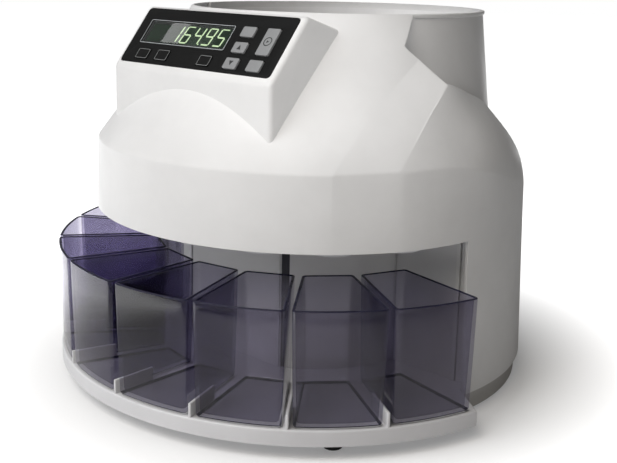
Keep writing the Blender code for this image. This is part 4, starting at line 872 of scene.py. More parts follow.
def clear_plastic(name, colour, edge_colour, roughness):
    """See-through moulded plastic that tints light at each wall, and more where a wall is seen on edge."""
    material, nodes, link, surface = new_material(name)
    worn = [c * WORN_SHARE for c in colour]
    touch = group_node(nodes, handling_group(), {
        "Colour": (*colour, 1.0), "Worn colour": (*worn, 1.0), "Dust": 0.0, "Smooth": roughness,
        "Rough": roughness * 2.0})
    edge = nodes.new("ShaderNodeLayerWeight")
    edge.inputs["Blend"].default_value = EDGE_BLEND
    tint = colour_node(nodes, link, edge.outputs["Facing"], touch.outputs["Colour"], (*edge_colour, 1.0))
    half_tint = nodes.new("ShaderNodeGamma")
    half_tint.inputs["Gamma"].default_value = 0.5
    link(tint, half_tint.inputs["Color"])
    link(tint, surface.inputs["Base Color"])
    link(touch.outputs["Roughness"], surface.inputs["Coat Roughness"])
    surface.inputs["Transmission Weight"].default_value = 1.0
    surface.inputs["IOR"].default_value = 1.0
    surface.inputs["Roughness"].default_value = 0.0
    surface.inputs["Coat Weight"].default_value = 1.0
    rays = nodes.new("ShaderNodeLightPath")
    unseen = sum_node(nodes, link, "MAXIMUM", rays.outputs["Is Shadow Ray"], rays.outputs["Is Diffuse Ray"])
    past = nodes.new("ShaderNodeBsdfTransparent")
    shade = colour_node(nodes, link, unseen, half_tint.outputs[0], (*[SHADE_SHARE] * 3, 1.0))
    link(shade, past.inputs["Color"])
    side = nodes.new("ShaderNodeNewGeometry")
    leaving = sum_node(nodes, link, "MULTIPLY", side.outputs["Backfacing"], PAST_SHARE)
    either = nodes.new("ShaderNodeMixShader")
    link(sum_node(nodes, link, "MAXIMUM", unseen, leaving), either.inputs["Fac"])
    link(surface.outputs[0], either.inputs[1])
    link(past.outputs[0], either.inputs[2])
    link(either.outputs[0], nodes["Material Output"].inputs["Surface"])
    return material


def lit_marks(name, colour, strength):
    """Glowing strokes that are a little uneven."""
    material, nodes, link, surface = new_material(name)
    touch = group_node(nodes, handling_group(), {
        "Colour": (*colour, 1.0), "Worn colour": (*[c * DIM_SHARE for c in colour], 1.0),
        "Patch size": LIT_PATCH, "Dust": 0.0})
    link(touch.outputs["Colour"], surface.inputs["Emission Color"])
    link(touch.outputs["Roughness"], surface.inputs["Roughness"])
    surface.inputs["Base Color"].default_value = (*[c * UNLIT_SHARE for c in colour], 1.0)
    surface.inputs["Emission Strength"].default_value = strength
    return material


# The outer form of the housing

def rim_radius(angle, radius):
    """Distance from the spindle to a circle whose middle lies behind it."""
    along = RIM_SHIFT * math.cos(angle)
    return -along + math.sqrt(along * along + radius * radius - RIM_SHIFT * RIM_SHIFT)


def fairing_radius(angle, z):
    return lerp(CREASE_R, rim_radius(angle, RIM_R), (z - CREASE_Z) / (RIM_Z - CREASE_Z))


def collar_radius(angle, z):
    return rim_radius(angle, RIM_R - RIM_LIP + COLLAR_TAPER * (RIM_Z - z))


def from_profile(profile, height):
    """Radius on a profile of radius and height, eased over its points."""
    def straight(h):
        for (r0, z0), (r1, z1) in zip(profile, profile[1:]):
            if h <= z1 or z1 == profile[-1][1]:
                return lerp(r0, r1, (h - z0) / (z1 - z0))
    ease = PROFILE_EASE
    return (straight(height - ease) + 2 * straight(height) + straight(height + ease)) / 4


def shoulder_radius(angle, z):
    rear = smooth_step(SIDE_END, REAR_START, angle)
    side_radius = from_profile(SIDE_PROFILE, z)
    fall = -SHOULDER_FALL * side_radius * math.cos(angle)
    return lerp(side_radius, from_profile(REAR_PROFILE, z + fall), rear)


def shoulder_start(angle):
    """Height at which the wall turns into the shoulder."""
    rear = smooth_step(BLEND_START, REAR_START, angle)
    return lerp(CREASE_Z, SHOULDER_START + SHOULDER_FALL * WALL_R_WAIST * math.cos(angle), rear)


def shoulder_end(angle):
    """Height of the shoulder's upper edge: its tilted plane, or the collar where that comes first."""
    z = SHOULDER_EDGE + SHOULDER_FALL * SIDE_PROFILE[-1][0] * math.cos(angle)
    start = shoulder_start(angle)
    while z > start and shoulder_radius(angle, z) < collar_radius(angle, z) + SHOULDER_STEP:
        z -= SHOULDER_STEP
    return z


def wall_radius(angle, z):
    rear = smooth_step(BLEND_START, BLEND_END, angle)
    front_radius = lerp(COWL_R_EDGE, CREASE_R, (z - COWL_EDGE_Z) / (CREASE_Z - COWL_EDGE_Z))
    low = lerp(WALL_R_FOOT, WALL_R_WAIST, (z - WALL_FOOT_Z) / (WAIST_Z - WALL_FOOT_Z))
    high = lerp(WALL_R_WAIST, SIDE_PROFILE[0][0], (z - WAIST_Z) / (CREASE_Z - WAIST_Z))
    return lerp(front_radius, low if z < WAIST_Z else high, rear)


def wedge_angle(z):
    """Angle at which the fairing reaches the wedge's half width."""
    low, high = WEDGE_SEARCH
    for _ in range(WEDGE_SEARCH_STEPS):
        middle = (low + high) / 2
        if fairing_radius(middle, z) * math.sin(middle) < WEDGE_HALF_WIDTH:
            low = middle
        else:
            high = middle
    return low


def fairing_edge_angle(z):
    """Where the fairing stops at the side: along the wedge, then along its own end."""
    if z <= WEDGE_TOP_Z:
        return wedge_angle(z)
    if z <= FAIRING_NOTCH_Z:
        t = (z - WEDGE_TOP_Z) / (FAIRING_NOTCH_Z - WEDGE_TOP_Z)
        return lerp(wedge_angle(WEDGE_TOP_Z), FAIRING_NOTCH_ANGLE, t)
    return lerp(FAIRING_NOTCH_ANGLE, FAIRING_TIP_ANGLE, (z - FAIRING_NOTCH_Z) / (RIM_Z - FAIRING_NOTCH_Z))


def key_row(level, shares):
    """Points of one row of the right half.

    Level 0 is the foot, 1 the waist, 2 to 3 the slope and 4 to 5 the collar.
    """
    on_wall = level < SLOPE_FOOT_LEVEL
    on_collar = level >= COLLAR_FOOT_LEVEL
    t = min(max(level - SLOPE_FOOT_LEVEL, 0.0), 1.0)
    u = max(level - COLLAR_FOOT_LEVEL, 0.0)
    if on_wall:
        z_front = (WALL_FOOT_Z, WAIST_Z)[int(level)]
    elif on_collar:
        z_front = lerp(lerp(WEDGE_TOP_Z, LOFT_TOP, LEDGE_SHARE), LOFT_TOP, u)
    else:
        z_front = lerp(CREASE_Z, WEDGE_TOP_Z, t)
    edge = fairing_edge_angle(max(z_front, CREASE_Z))
    right = WEDGE_FOOT.lerp(WEDGE_HEAD, t)
    right_angle = math.atan2(right.x, -right.y)
    next_angle = lerp(right_angle, math.pi, COLLAR_RUN_SHARE)
    points = []
    for share in shares["fairing"]:
        angle = edge * share
        radius = wall_radius(angle, z_front) if on_wall else fairing_radius(angle, z_front)
        points.append(around(radius, angle, z_front))
    left = around(wall_radius(edge, z_front) if on_wall else fairing_radius(edge, z_front), edge, z_front)
    for share in shares["wedge"]:
        if on_wall:
            angle = lerp(edge, right_angle, share)
            points.append(around(wall_radius(angle, z_front), angle, z_front))
        elif on_collar:
            step = 2 * share
            angle = lerp(edge + END_WALL_ANGLE, next_angle, max(step - 1.0, 0.0) / 2)
            z = lerp(z_front, lerp(right.z, LOFT_TOP, u), max(share, WEDGE_MIDDLE))
            spot = around(collar_radius(angle, z), angle, z)
            points.append(left.lerp(spot, min(step, 1.0)))
        else:
            points.append(left.lerp(right, share))
    for share in shares["shoulder"]:
        angle = lerp(right_angle, math.pi, share)
        end = shoulder_end(angle)
        if on_wall:
            points.append(around(wall_radius(angle, z_front), angle, z_front))
        elif on_collar:
            z = lerp(end, LOFT_TOP, u)
            points.append(around(collar_radius(angle, z), angle, z))
        else:
            z = lerp(shoulder_start(angle), end, t)
            points.append(around(shoulder_radius(angle, z), angle, z))
    return points


def form_row(level, shares):
    """As key_row, for any level: walls and ledge run straight between their rows."""
    for low, high in ((0.0, 1.0), (1.0, SLOPE_FOOT_LEVEL), (SLOPE_TOP_LEVEL, COLLAR_FOOT_LEVEL)):
        if low < level < high:
            t = level - low
            row = [a.lerp(b, t) for a, b in zip(key_row(low, shares), key_row(high, shares))]
            if low == SLOPE_TOP_LEVEL:
                z = lerp(WEDGE_TOP_Z, lerp(WEDGE_TOP_Z, LOFT_TOP, LEDGE_SHARE), t)
                edge = fairing_edge_angle(z)
                for i, share in enumerate(shares["fairing"]):
                    row[i] = around(fairing_radius(edge * share, z), edge * share, z)
                left = around(fairing_radius(edge, z), edge, z)
                first = len(shares["fairing"])
                foot = row[first + shares["wedge"].index(WEDGE_MIDDLE)]
                for i, share in enumerate(shares["wedge"]):
                    if share < WEDGE_MIDDLE:
                        row[first + i] = left.lerp(foot, 2 * share)
            return row
    return key_row(level, shares)


def form_ring(level, shares, inset):
    """Closed ring of the form, moved in by the wall where that is wanted."""
    half = form_row(level, shares)
    drop = inset if SLOPE_FOOT_LEVEL < level < COLLAR_FOOT_LEVEL + MERGE else 0.0
    for point in half:
        flat = Vector((point.x, point.y, 0.0))
        point.xy = (flat - flat.normalized() * inset).xy
        point.z -= drop
    return half + [Vector((-p.x, p.y, p.z)) for p in half[-2:0:-1]]


def even(count, start=0.0, end=1.0):
    return [lerp(start, end, i / count) for i in range(count + 1)]


def open_skin(rings):
    """Skin over rings with no caps."""
    bm = bmesh.new()
    rows = [[bm.verts.new(p) for p in ring] for ring in rings]
    for low, high in zip(rows, rows[1:]):
        for i in range(len(low)):
            j = (i + 1) % len(low)
            bm.faces.new((low[i], low[j], high[j], high[i]))
    return from_bmesh("skin", bm, recalculate=False)


def capped(mesh):
    """The mesh with a face over each open end."""
    bm = bmesh.new()
    bm.from_mesh(mesh)
    bmesh.ops.holes_fill(bm, edges=[e for e in bm.edges if e.is_boundary], sides=0)
    bpy.data.meshes.remove(mesh)
    return from_bmesh("capped", bm)


def side_prism(profile, half_width):
    """Solid of one profile of depth and height, the same across its whole width."""
    return loft_mesh([[(x, y, z) for y, z in profile] for x in (-half_width, half_width)])


def pod_mesh(edge_radius):
    """Solid of the control pod, with every edge rounded that doesn't lie in the housing."""
    front_z = PANEL_Z + (POD_FRONT_Y - PANEL_Y) * math.tan(PANEL_TILT)
    rear_z = POD_TOP_Z - (POD_REAR_Y - POD_TOP_Y) * POD_TOP_FALL
    profile = ((POD_FRONT_Y, POD_FOOT_Z), (POD_FRONT_Y, front_z), (POD_TOP_Y, POD_TOP_Z),
               (POD_REAR_Y, rear_z), (POD_REAR_Y, POD_FOOT_Z))
    bm = bmesh.new()
    bm.from_mesh(side_prism(profile, POD_HALF_WIDTH))
    chosen = []
    for edge in bm.edges:
        rear = all(v.co.y > POD_REAR_Y - MERGE for v in edge.verts)
        foot = all(v.co.z < POD_FOOT_Z + MERGE for v in edge.verts)
        if not rear and not foot:
            chosen.append(edge)
    bmesh.ops.bevel(bm, geom=chosen, offset=edge_radius, segments=5, profile=0.5, affect="EDGES",
                    clamp_overlap=True)
    return from_bmesh("pod", bm)


def pod_cavity_mesh():
    """Solid of the space behind the panel."""
    foot = PANEL_PLACE @ Vector((0.0, 0.0, -OVERLAY_THICKNESS - POD_WALL))
    slope = math.tan(PANEL_TILT)
    front_y = POD_FRONT_Y + POD_WALL
    front_z = foot.z + (front_y - foot.y) * slope
    collar_y = RIM_SHIFT - RIM_R - POD_WALL - CLEARANCE
    top_y = collar_y - 2 * POD_WALL
    top_z = foot.z + (top_y - foot.y) * slope
    profile = ((front_y, front_z), (top_y, top_z), (collar_y, top_z), (collar_y, PANEL_Z),
               (front_y, POD_CAVITY_FOOT_Z))
    return side_prism(profile, POD_HALF_WIDTH - POD_WALL)


def on_panel(mesh):
    """A mesh drawn across, up and out of the panel, put in its place with the spindle at the middle."""
    return moved(mesh, PANEL_PLACE)


PROFILE_EASE = 0.0035
LEDGE_SHARE = 1 / 3
LOFT_TOP = RIM_Z - OVERLAP
HOUSING_SHARES = {
    "fairing": even(22, 0.0, 0.955) + [0.984, 0.992],
    "wedge": [0.0, 0.05, 0.12, 0.28, 0.44, 0.5, 0.56, 0.72, 0.88, 0.95, 1.0],
    "shoulder": [0.0065, 0.0150] + even(34, 0.035, 1.0),
}
HOUSING_LEVELS = (0.0, 0.25, 0.5, 0.75, 1.0, 1.3, 1.6, 1.85, 1.94, 1.97, 2.0, 2.03, 2.07, 2.18, 2.32, 2.46,
                  2.6, 2.74, 2.86, 2.94, 2.97, 3.0, 3.06, 3.14, 3.5, 3.86, 3.95, 4.0, 4.05, 4.2, 4.5, 4.8,
                  5.0)
INNER_SHARES = {
    "fairing": even(14, 0.0, 14 / 15),
    "wedge": [0.0, 0.25, 0.5, 0.75, 1.0],
    "shoulder": even(26, 1 / 27, 1.0),
}
INNER_LEVELS = (0.0, 1.0, 2.0, 2.2, 2.4, 2.6, 2.8, 3.0, 4.0, 5.0)


class HousingSettings(bpy.types.PropertyGroup):
    colour: FloatVectorProperty(
        name="Colour", description="Colour of the moulded body", subtype="COLOR", default=(0.80, 0.80, 0.80),
        min=0.0, max=1.0)
    pod_edge: FloatProperty(
        name="Pod edge", description="Radius of the control pod's edges", subtype="DISTANCE", unit="LENGTH",
        default=0.0030, min=0.0005, max=0.0060)


class COUNTER_OT_housing(bpy.types.Operator):
    """Moulded body with its front fairing, shoulder, collar and control pod"""
    bl_idname = "counter.housing"
    bl_label = "Housing"

    def execute(self, context):
        chosen = context.scene.counter_housing
        skin = open_skin([form_ring(level, HOUSING_SHARES, 0.0) for level in HOUSING_LEVELS])
        outer = capped(subdivided(skin, 1))
        lip = turned_mesh(rounded_profile(
            ((RIM_R - RIM_LIP_DEPTH, RIM_Z - RIM_LIP_HEIGHT), (RIM_R, RIM_Z - RIM_LIP_HEIGHT), (RIM_R, RIM_Z),
             (RIM_R - RIM_LIP_DEPTH, RIM_Z)), RIM_LIP_ROUND, closed=True), (0.0, RIM_SHIFT), WIDE_ROUND,
            closed_loop=True)
        body = combined(outer, [pod_mesh(chosen.pod_edge), lip], "UNION")
        rings = [form_ring(level, INNER_SHARES, WALL) for level in INNER_LEVELS]
        rings.insert(0, [Vector((p.x, p.y, p.z - OVERRUN)) for p in rings[0]])
        rings.append([Vector((p.x, p.y, p.z + OVERRUN)) for p in rings[-1]])
        bay = [(0.0, 0.0)] + arc(WALL_R_FOOT + OVERRUN, -BAY_HALF_ANGLE, BAY_HALF_ANGLE, WIDE_ROUND)
        recess = grown((-PANEL_HALF_WIDTH, 0.0, PANEL_HALF_WIDTH, PANEL_LENGTH), CLEARANCE)
        depth = OVERLAY_THICKNESS + POD_WALL + OVERLAP
        wells = []
        for rect in [grown(rect, CLEARANCE) for rect in KEYS.values()] + [grown(WINDOW, -WINDOW_LEDGE)]:
            x0, y0, x1, y1 = rect
            wells.append(on_panel(box_mesh(x0, y0, -depth, x1, y1, -OVERLAY_THICKNESS + OVERLAP)))
        cuts = [loft_mesh(rings), pod_cavity_mesh(), plate_mesh([bay], -OVERRUN, COWL_EDGE_Z),
                on_panel(plate_mesh([rounded_box(*recess, PANEL_CORNER)], -OVERLAY_THICKNESS, OVERRUN)),
                joined(wells),
                box_mesh(-REAR_HALF_WIDTH, REAR_PANEL_Y - OVERRUN, REAR_SILL_Z, REAR_HALF_WIDTH,
                         WALL_R_FOOT + OVERRUN, REAR_TOP_Z)]
        body = combined(body, cuts, "DIFFERENCE")
        material = finish("housing_white", chosen.colour, smooth=0.30, rough=0.38, dust=0.10,
                          wave_depth=0.00002, specular=0.08)
        piece("housing", moved(body, TO_SPINDLE), [material], MACHINE, ["housing"])
        return {"FINISHED"}


# Base, bay, deck and cups

def base_outline(inset):
    """Plan of the base: the wide tray in front and the body's round behind."""
    turn = inset / BASE_R
    front = arc(TRAY_R - inset, -TRAY_HALF_ANGLE + turn, TRAY_HALF_ANGLE - turn, 2 * ROUND)
    rear = arc(BASE_R - inset, BAY_HALF_ANGLE - turn, 2 * math.pi - BAY_HALF_ANGLE + turn, 2 * ROUND)
    return front + rear


def stands_upright(face):
    return abs(face.normal.z) < 0.5


def band_between(outer, inner, z0, z1):
    """Upright closed band between two outlines of as many points."""
    corners = ((outer, z0), (outer, z1), (inner, z1), (inner, z0))
    return loft_mesh([[(x, y, z) for x, y in outline] for outline, z in corners], closed_loop=True)


class BaseSettings(bpy.types.PropertyGroup):
    colour: FloatVectorProperty(
        name="Colour", description="Colour of the base tray", subtype="COLOR", default=(0.78, 0.78, 0.80),
        min=0.0, max=1.0)
    band_colour: FloatVectorProperty(
        name="Band colour", description="Colour of the band under the housing", subtype="COLOR",
        default=(0.50, 0.49, 0.475), min=0.0, max=1.0)
    edge: FloatProperty(
        name="Edge", description="Radius of the tray's upper edge", subtype="DISTANCE", unit="LENGTH",
        default=0.0012, min=0.0002, max=0.0020)


class COUNTER_OT_base(bpy.types.Operator):
    """Base tray with its rim, the ribs between the cups and the posts inside"""
    bl_idname = "counter.base"
    bl_label = "Base tray"

    def execute(self, context):
        chosen = context.scene.counter_base
        white = finish("tray_white", chosen.colour, smooth=0.34, rough=0.46, dust=0.16)
        edge = chosen.edge
        seam = WALL_FOOT_Z - SEAM_SHADOW_HEIGHT
        eased = [(0.0, TRAY_FOOT), (0.0, seam), (0.0, TRAY_TOP - edge)]
        eased += [(edge * (1 - math.cos(a)), TRAY_TOP - edge * (1 - math.sin(a)))
                  for a in even(4, BASE_ROUND_START, math.pi / 2)]
        rings = [[(x, y, z) for x, y in base_outline(inset)] for inset, z in eased]
        heights = (TRAY_TOP - BASE_THICKNESS, TRAY_FOOT - 2 * OVERLAP)
        hollow = loft_mesh([[(x, y, z) for x, y in base_outline(BASE_THICKNESS)] for z in heights])
        tray = combined(loft_mesh(rings), [hollow], "DIFFERENCE")
        start, end = BAY_HALF_ANGLE, 2 * math.pi - BAY_HALF_ANGLE
        outer, inner = (arc(r, start, end, 2 * ROUND) for r in (BASE_R, BASE_R - BASE_THICKNESS))
        skirt = band_between(outer, inner, BASE_SKIRT_FOOT, TRAY_FOOT + OVERLAP)
        rib = box_mesh(-RIB_THICKNESS / 2, -TRAY_R + RIB_SETBACK, TRAY_TOP - OVERLAP, RIB_THICKNESS / 2,
                       -RIB_INNER_R, TRAY_TOP + RIB_HEIGHT, RIB_EDGE)
        ribs = copies_round(rib, CUP_COUNT - 1, CUP_PITCH, -(CUP_COUNT - 2) / 2 * CUP_PITCH, white)
        posts = []
        for spot, radius, top in base_posts():
            posts.append(turned_mesh(rounded_profile(
                ((AXIS_R, TRAY_TOP - OVERLAP), (radius, TRAY_TOP - OVERLAP), (radius, top), (AXIS_R, top)),
                POST_EDGE), spot, SMALL_ROUND))
        mesh = joined([tray, skirt, ribs] + posts)
        # Upright faces of the rear round: a grey band, and over it a near-black strip that is painted shadow
        # of the gap under the housing's foot.
        for face in mesh.polygons:
            x, y, z = face.center
            behind = -y < BASE_R * math.cos(BAY_HALF_ANGLE)
            if behind and math.hypot(x, y) > BASE_R - BASE_THICKNESS / 2 and stands_upright(face):
                face.material_index = 2 if z > seam else 1
        grey = finish("base_grey", chosen.band_colour, smooth=0.45, rough=0.55, dust=0.10,
                      grain_depth=0.00003)
        # Near-black painted shadow for the strip under the housing's foot.
        dark = finish("base_seam", (0.03, 0.03, 0.03), smooth=0.5, rough=0.6, dust=0.05)
        piece("base_tray", moved(mesh, TO_SPINDLE), [white, grey, dark], MACHINE, ["base_tray"])
        return {"FINISHED"}


def base_posts():
    """Posts that stand on the base's floor: their place, radius and top."""
    posts = [((side * x, y), DECK_POST_R, DECK_FOOT - CLEARANCE) for x, y in DECK_POSTS for side in (-1, 1)]
    for x0, y0, x1, y1 in (MAIN_BOARD, POWER_BOARD):
        for x, y in ((x0, y0), (x1, y0), (x1, y1), (x0, y1)):
            spot = (x + BOARD_INSET * (1 if x == x0 else -1), y + BOARD_INSET * (1 if y == y0 else -1))
            posts.append((spot, BOARD_POST_R, TRAY_TOP + BOARD_POST_HEIGHT))
    return posts


def bay_path(offset):
    """Right half of the bay wall's plan, from the middle of its flat front outwards."""
    radius = BAY_BACK_R + offset
    flat_y = -math.sqrt(radius * radius - BAY_FLAT_HALF * BAY_FLAT_HALF)
    start = math.atan2(BAY_FLAT_HALF, -flat_y)
    side_y = BAY_SIDE_Y - offset
    end = math.acos(-side_y / radius)
    return arc(radius, start, end, ROUND) + [(BAY_END_X, side_y)]


def bay_front():
    """The wall's front: the gap beside its flat part, the seam where its round part ends, and the rib."""
    path = bay_path(BAY_WALL)
    radius = math.hypot(*path[0])
    start = math.atan2(path[0][0], -path[0][1])
    end = start + BAY_GAP_ANGLE
    past_gap = [(x, y) for x, y in path[1:] if math.atan2(x, -y) > end]
    gap = arc(radius - BAY_SEAM_DEPTH, start, end, steps=6)
    path = path[:1] + gap + [tuple(around(radius, end).xy)] + past_gap
    side_y = path[-1][1]
    deep = side_y + BAY_SEAM_DEPTH
    seam = path[-2][0] + BAY_SEAM_WIDTH
    rib = BAY_RIB_X + BAY_RIB_WIDTH
    detail = [(seam, side_y), (seam, deep), (seam + BAY_SEAM_WIDTH, deep), (seam + BAY_SEAM_WIDTH, side_y),
              (BAY_RIB_X, side_y), (BAY_RIB_X, side_y - BAY_RIB_PROUD), (rib, side_y - BAY_RIB_PROUD),
              (rib, deep), (rib + BAY_SEAM_WIDTH, deep), (rib + BAY_SEAM_WIDTH, side_y)]
    return path[:-1] + detail + path[-1:]


class BaySettings(bpy.types.PropertyGroup):
    colour: FloatVectorProperty(
        name="Colour", description="Colour of the wall behind the cups", subtype="COLOR",
        default=(0.76, 0.76, 0.76), min=0.0, max=1.0)
    edge_colour: FloatVectorProperty(
        name="Edge colour", description="Colour of the rib and strip at the wall's ends", subtype="COLOR",
        default=(0.82, 0.82, 0.81), min=0.0, max=1.0)


class COUNTER_OT_bay(bpy.types.Operator):
    """Wall behind the cups"""
    bl_idname = "counter.bay"
    bl_label = "Bay wall"

    def execute(self, context):
        front = bay_front()
        back = bay_path(0.0)
        outline = [(-x, y) for x, y in front[::-1]] + front + back[::-1] + [(-x, y) for x, y in back]
        top = DECK_FOOT - CLEARANCE
        wall = plate_mesh([outline], TRAY_TOP + CLEARANCE, top)
        chosen = context.scene.counter_bay
        grey = finish("bay_white", chosen.colour, smooth=0.40, rough=0.52, dust=0.05)
        edge = finish("bay_edge", chosen.edge_colour, smooth=0.40, rough=0.52, dust=0.03)
        # Near-black on the floors of the gap beside the flat front and of the seam groove: painted shade in
        # these recesses.
        dark = finish("bay_gap", (0.03, 0.03, 0.032), smooth=0.5, rough=0.6, dust=0.05)
        floors = (math.hypot(*front[0]) - BAY_SEAM_DEPTH, -(front[-1][1] + BAY_SEAM_DEPTH))
        for face in wall.polygons:
            x, y = abs(face.center.x), face.center.y
            in_gap_shade = abs(math.hypot(x, y) - floors[0]) < BAY_SEAM_DEPTH / 4 and x > BAY_FLAT_HALF
            in_seam_shade = abs(y + floors[1]) < BAY_SEAM_DEPTH / 4 and x > BAY_BACK_R
            if stands_upright(face):
                face.material_index = 2 if in_gap_shade or in_seam_shade else int(x > BAY_RIB_X)
        piece("bay_wall", moved(wall, TO_SPINDLE), [grey, edge, dark], MACHINE, ["bay_wall"])
        return {"FINISHED"}


class DeckSettings(bpy.types.PropertyGroup):
    colour: FloatVectorProperty(
        name="Colour", description="Colour of the deck and its chutes", subtype="COLOR",
        default=(0.66, 0.66, 0.69), min=0.0, max=1.0)


class COUNTER_OT_deck(bpy.types.Operator):
    """Deck over the cups with one chute above each"""
    bl_idname = "counter.deck"
    bl_label = "Deck and chutes"

    def execute(self, context):
        grey = finish("deck_grey", context.scene.counter_deck.colour, smooth=0.38, rough=0.5)
        spots = [around(CHUTE_R, angle) for angle in CUP_ANGLES]
        bore = CHUTE_OUTER - CHUTE_WALL
        holes = [circle(bore, (spot.x, spot.y), SMALL_ROUND) for spot in spots]
        middle = circle(SHAFT_SEAT_R, segments=SMALL_ROUND)
        plate = plate_mesh([circle(DECK_R, segments=WIDE_ROUND), middle] + holes, DECK_FOOT, DECK_TOP)
        tube = turned_mesh(rounded_profile(
            ((bore, CHUTE_FOOT), (CHUTE_OUTER, CHUTE_FOOT), (CHUTE_OUTER, DECK_FOOT + OVERLAP),
             (bore, DECK_FOOT + OVERLAP)), CHUTE_EDGE, closed=True), (0.0, -CHUTE_R), ROUND, closed_loop=True)
        tubes = copies_round(tube, CUP_COUNT, CUP_PITCH, CUP_ANGLES[0], grey)
        seat = turned_mesh(((SHAFT_SEAT_R, SEAT_FOOT), (SEAT_R, SEAT_FOOT), (SEAT_R, DECK_FOOT + OVERLAP),
                            (SHAFT_SEAT_R, DECK_FOOT + OVERLAP)), closed_loop=True)
        piece("deck", moved(joined([plate, tubes, seat]), TO_SPINDLE), [grey], MACHINE, ["deck"])
        return {"FINISHED"}


def cup_outline(inset, steps=8):
    """Plan of a cup that points to the front: narrow at the rear, with a front that bulges."""
    corners = ((-CUP_OUTER_HALF, -CUP_OUTER_R), (0.0, -CUP_OUTER_R - CUP_BULGE),
               (CUP_OUTER_HALF, -CUP_OUTER_R), (CUP_INNER_HALF, -CUP_INNER_R),
               (-CUP_INNER_HALF, -CUP_INNER_R))
    radii = (CUP_FRONT_CORNER, CUP_BULGE_R, CUP_FRONT_CORNER, CUP_REAR_CORNER, CUP_REAR_CORNER)
    return rounded(moved_in(corners, inset), [max(radius - inset, CUP_WALL) for radius in radii], steps)


def cup_mesh():
    """A cup in the middle, before it is turned to its place."""
    rings = []
    foot_round = CUP_FOOT_ROUND
    for a in even(4, 0.0, math.pi / 2):
        rings.append((CUP_DRAFT + foot_round * (1 - math.sin(a)), CUP_FOOT + foot_round * (1 - math.cos(a))))
    middle = lerp(CUP_FOOT, CUP_RIM_Z, 0.5)
    rings.append((CUP_DRAFT * 0.5, middle))
    lip = CUP_LIP
    ease = lip * CUP_LIP_EASE
    rings += [(0.0, CUP_RIM_Z - lip), (ease, CUP_RIM_Z - ease), (lip, CUP_RIM_Z), (CUP_WALL - lip, CUP_RIM_Z),
              (CUP_WALL - ease, CUP_RIM_Z - ease), (CUP_WALL, CUP_RIM_Z - lip)]
    rings.append((CUP_DRAFT * 0.5 + CUP_WALL, middle))
    floor = CUP_FOOT + CUP_WALL
    for a in even(4, math.pi / 2, 0.0):
        rings.append((CUP_DRAFT + CUP_WALL + foot_round * (1 - math.sin(a)),
                      floor + foot_round * (1 - math.cos(a))))
    return loft_mesh([[(x, y, z) for x, y in cup_outline(inset)] for inset, z in rings])


class CupSettings(bpy.types.PropertyGroup):
    colour: FloatVectorProperty(
        name="Colour", description="Tint of light that crosses one wall of a cup", subtype="COLOR",
        default=(0.595, 0.575, 0.675), min=0.0, max=1.0)
    edge_colour: FloatVectorProperty(
        name="Edge colour", description="Tint where a wall is seen on edge", subtype="COLOR",
        default=(0.20, 0.19, 0.30), min=0.0, max=1.0)
    # The rim colour is painted shade: a dark opaque colour in place of light bent and absorbed in the thick
    # clear rim.
    rim_shade_colour: FloatVectorProperty(
        name="Rim colour", description="Colour of the cups' upper edge", subtype="COLOR",
        default=(0.014, 0.013, 0.036), min=0.0, max=1.0)


class COUNTER_OT_cups(bpy.types.Operator):
    """Eight clear cups that pull out"""
    bl_idname = "counter.cups"
    bl_label = "Cups"

    def execute(self, context):
        chosen = context.scene.counter_cups
        clear = clear_plastic("cup_blue", chosen.colour, chosen.edge_colour, roughness=0.05)
        # The rim and a band above the foot are painted shade: dark opaque colour in place of light bent and
        # absorbed in the thick clear edges.
        rim = finish("cup_rim", chosen.rim_shade_colour, smooth=0.25, rough=0.35, dust=0.0, patch=0.01,
                     specular=0.2)
        for i, angle in enumerate(CUP_ANGLES):
            name = f"cup_{i + 1}"
            mesh = moved(cup_mesh(), TO_SPINDLE @ Matrix.Rotation(angle, 4, "Z"))
            obj = piece(name, mesh, [clear, rim], name, [name], smooth=50.0)
            for face in obj.data.polygons:
                in_foot_shade = CUP_FOOT_SHADE[0] < face.center.z - CUP_FOOT < CUP_FOOT_SHADE[1]
                face.material_index = int(in_foot_shade or face.center.z > CUP_RIM_Z - CUP_LIP * CUP_RIM_SHARE)
        return {"FINISHED"}


# Hopper and sorting parts

class HopperSettings(bpy.types.PropertyGroup):
    # The bowl's white is set lighter than the housing's: the extra lightness is painted light, standing in
    # for light bounced round inside the bowl.
    colour: FloatVectorProperty(
        name="Colour", description="Colour of the hopper's bowl", subtype="COLOR",
        default=(0.88, 0.88, 0.88), min=0.0, max=1.0)


class COUNTER_OT_hopper(bpy.types.Operator):
    """Bowl inside the collar"""
    bl_idname = "counter.hopper"
    bl_label = "Hopper bowl"

    def execute(self, context):
        rings = []
        rows = even(BOWL_ROWS)
        profile = [(t, 0.0) for t in rows] + [(1.0, BOWL_WALL)] + [(1.0 - t, BOWL_WALL) for t in rows]
        for t, inset in profile:
            radius = lerp(BOWL_FOOT_R, BOWL_TOP_R, t) - inset
            y = lerp(0.0, RIM_SHIFT, t)
            z = lerp(BOWL_FOOT_Z, BOWL_TOP_Z, t)
            turns = [2 * math.pi * i / WIDE_ROUND for i in range(WIDE_ROUND)]
            rings.append([(radius * math.cos(a), y + radius * math.sin(a), z) for a in turns])
        bowl = softened(loft_mesh(rings, closed_loop=True), BOWL_EDGE)
        # Lighter than the housing's white: painted light for the light bounced inside the bowl.
        grey = finish("bowl_grey", context.scene.counter_hopper.colour, smooth=0.3, rough=0.45, dust=0.1,
                      worn=(0.80, 0.80, 0.81), patch=0.03)
        piece("hopper_bowl", moved(bowl, TO_SPINDLE), [grey], MACHINE, ["hopper_bowl"])
        return {"FINISHED"}


class DiscSettings(bpy.types.PropertyGroup):
    colour: FloatVectorProperty(
        name="Colour", description="Colour of the feeder disc", subtype="COLOR", default=(0.36, 0.36, 0.38),
        min=0.0, max=1.0)
    fingers: IntProperty(
        name="Fingers", description="Number of fingers that push coins round", default=10, min=4, max=24)


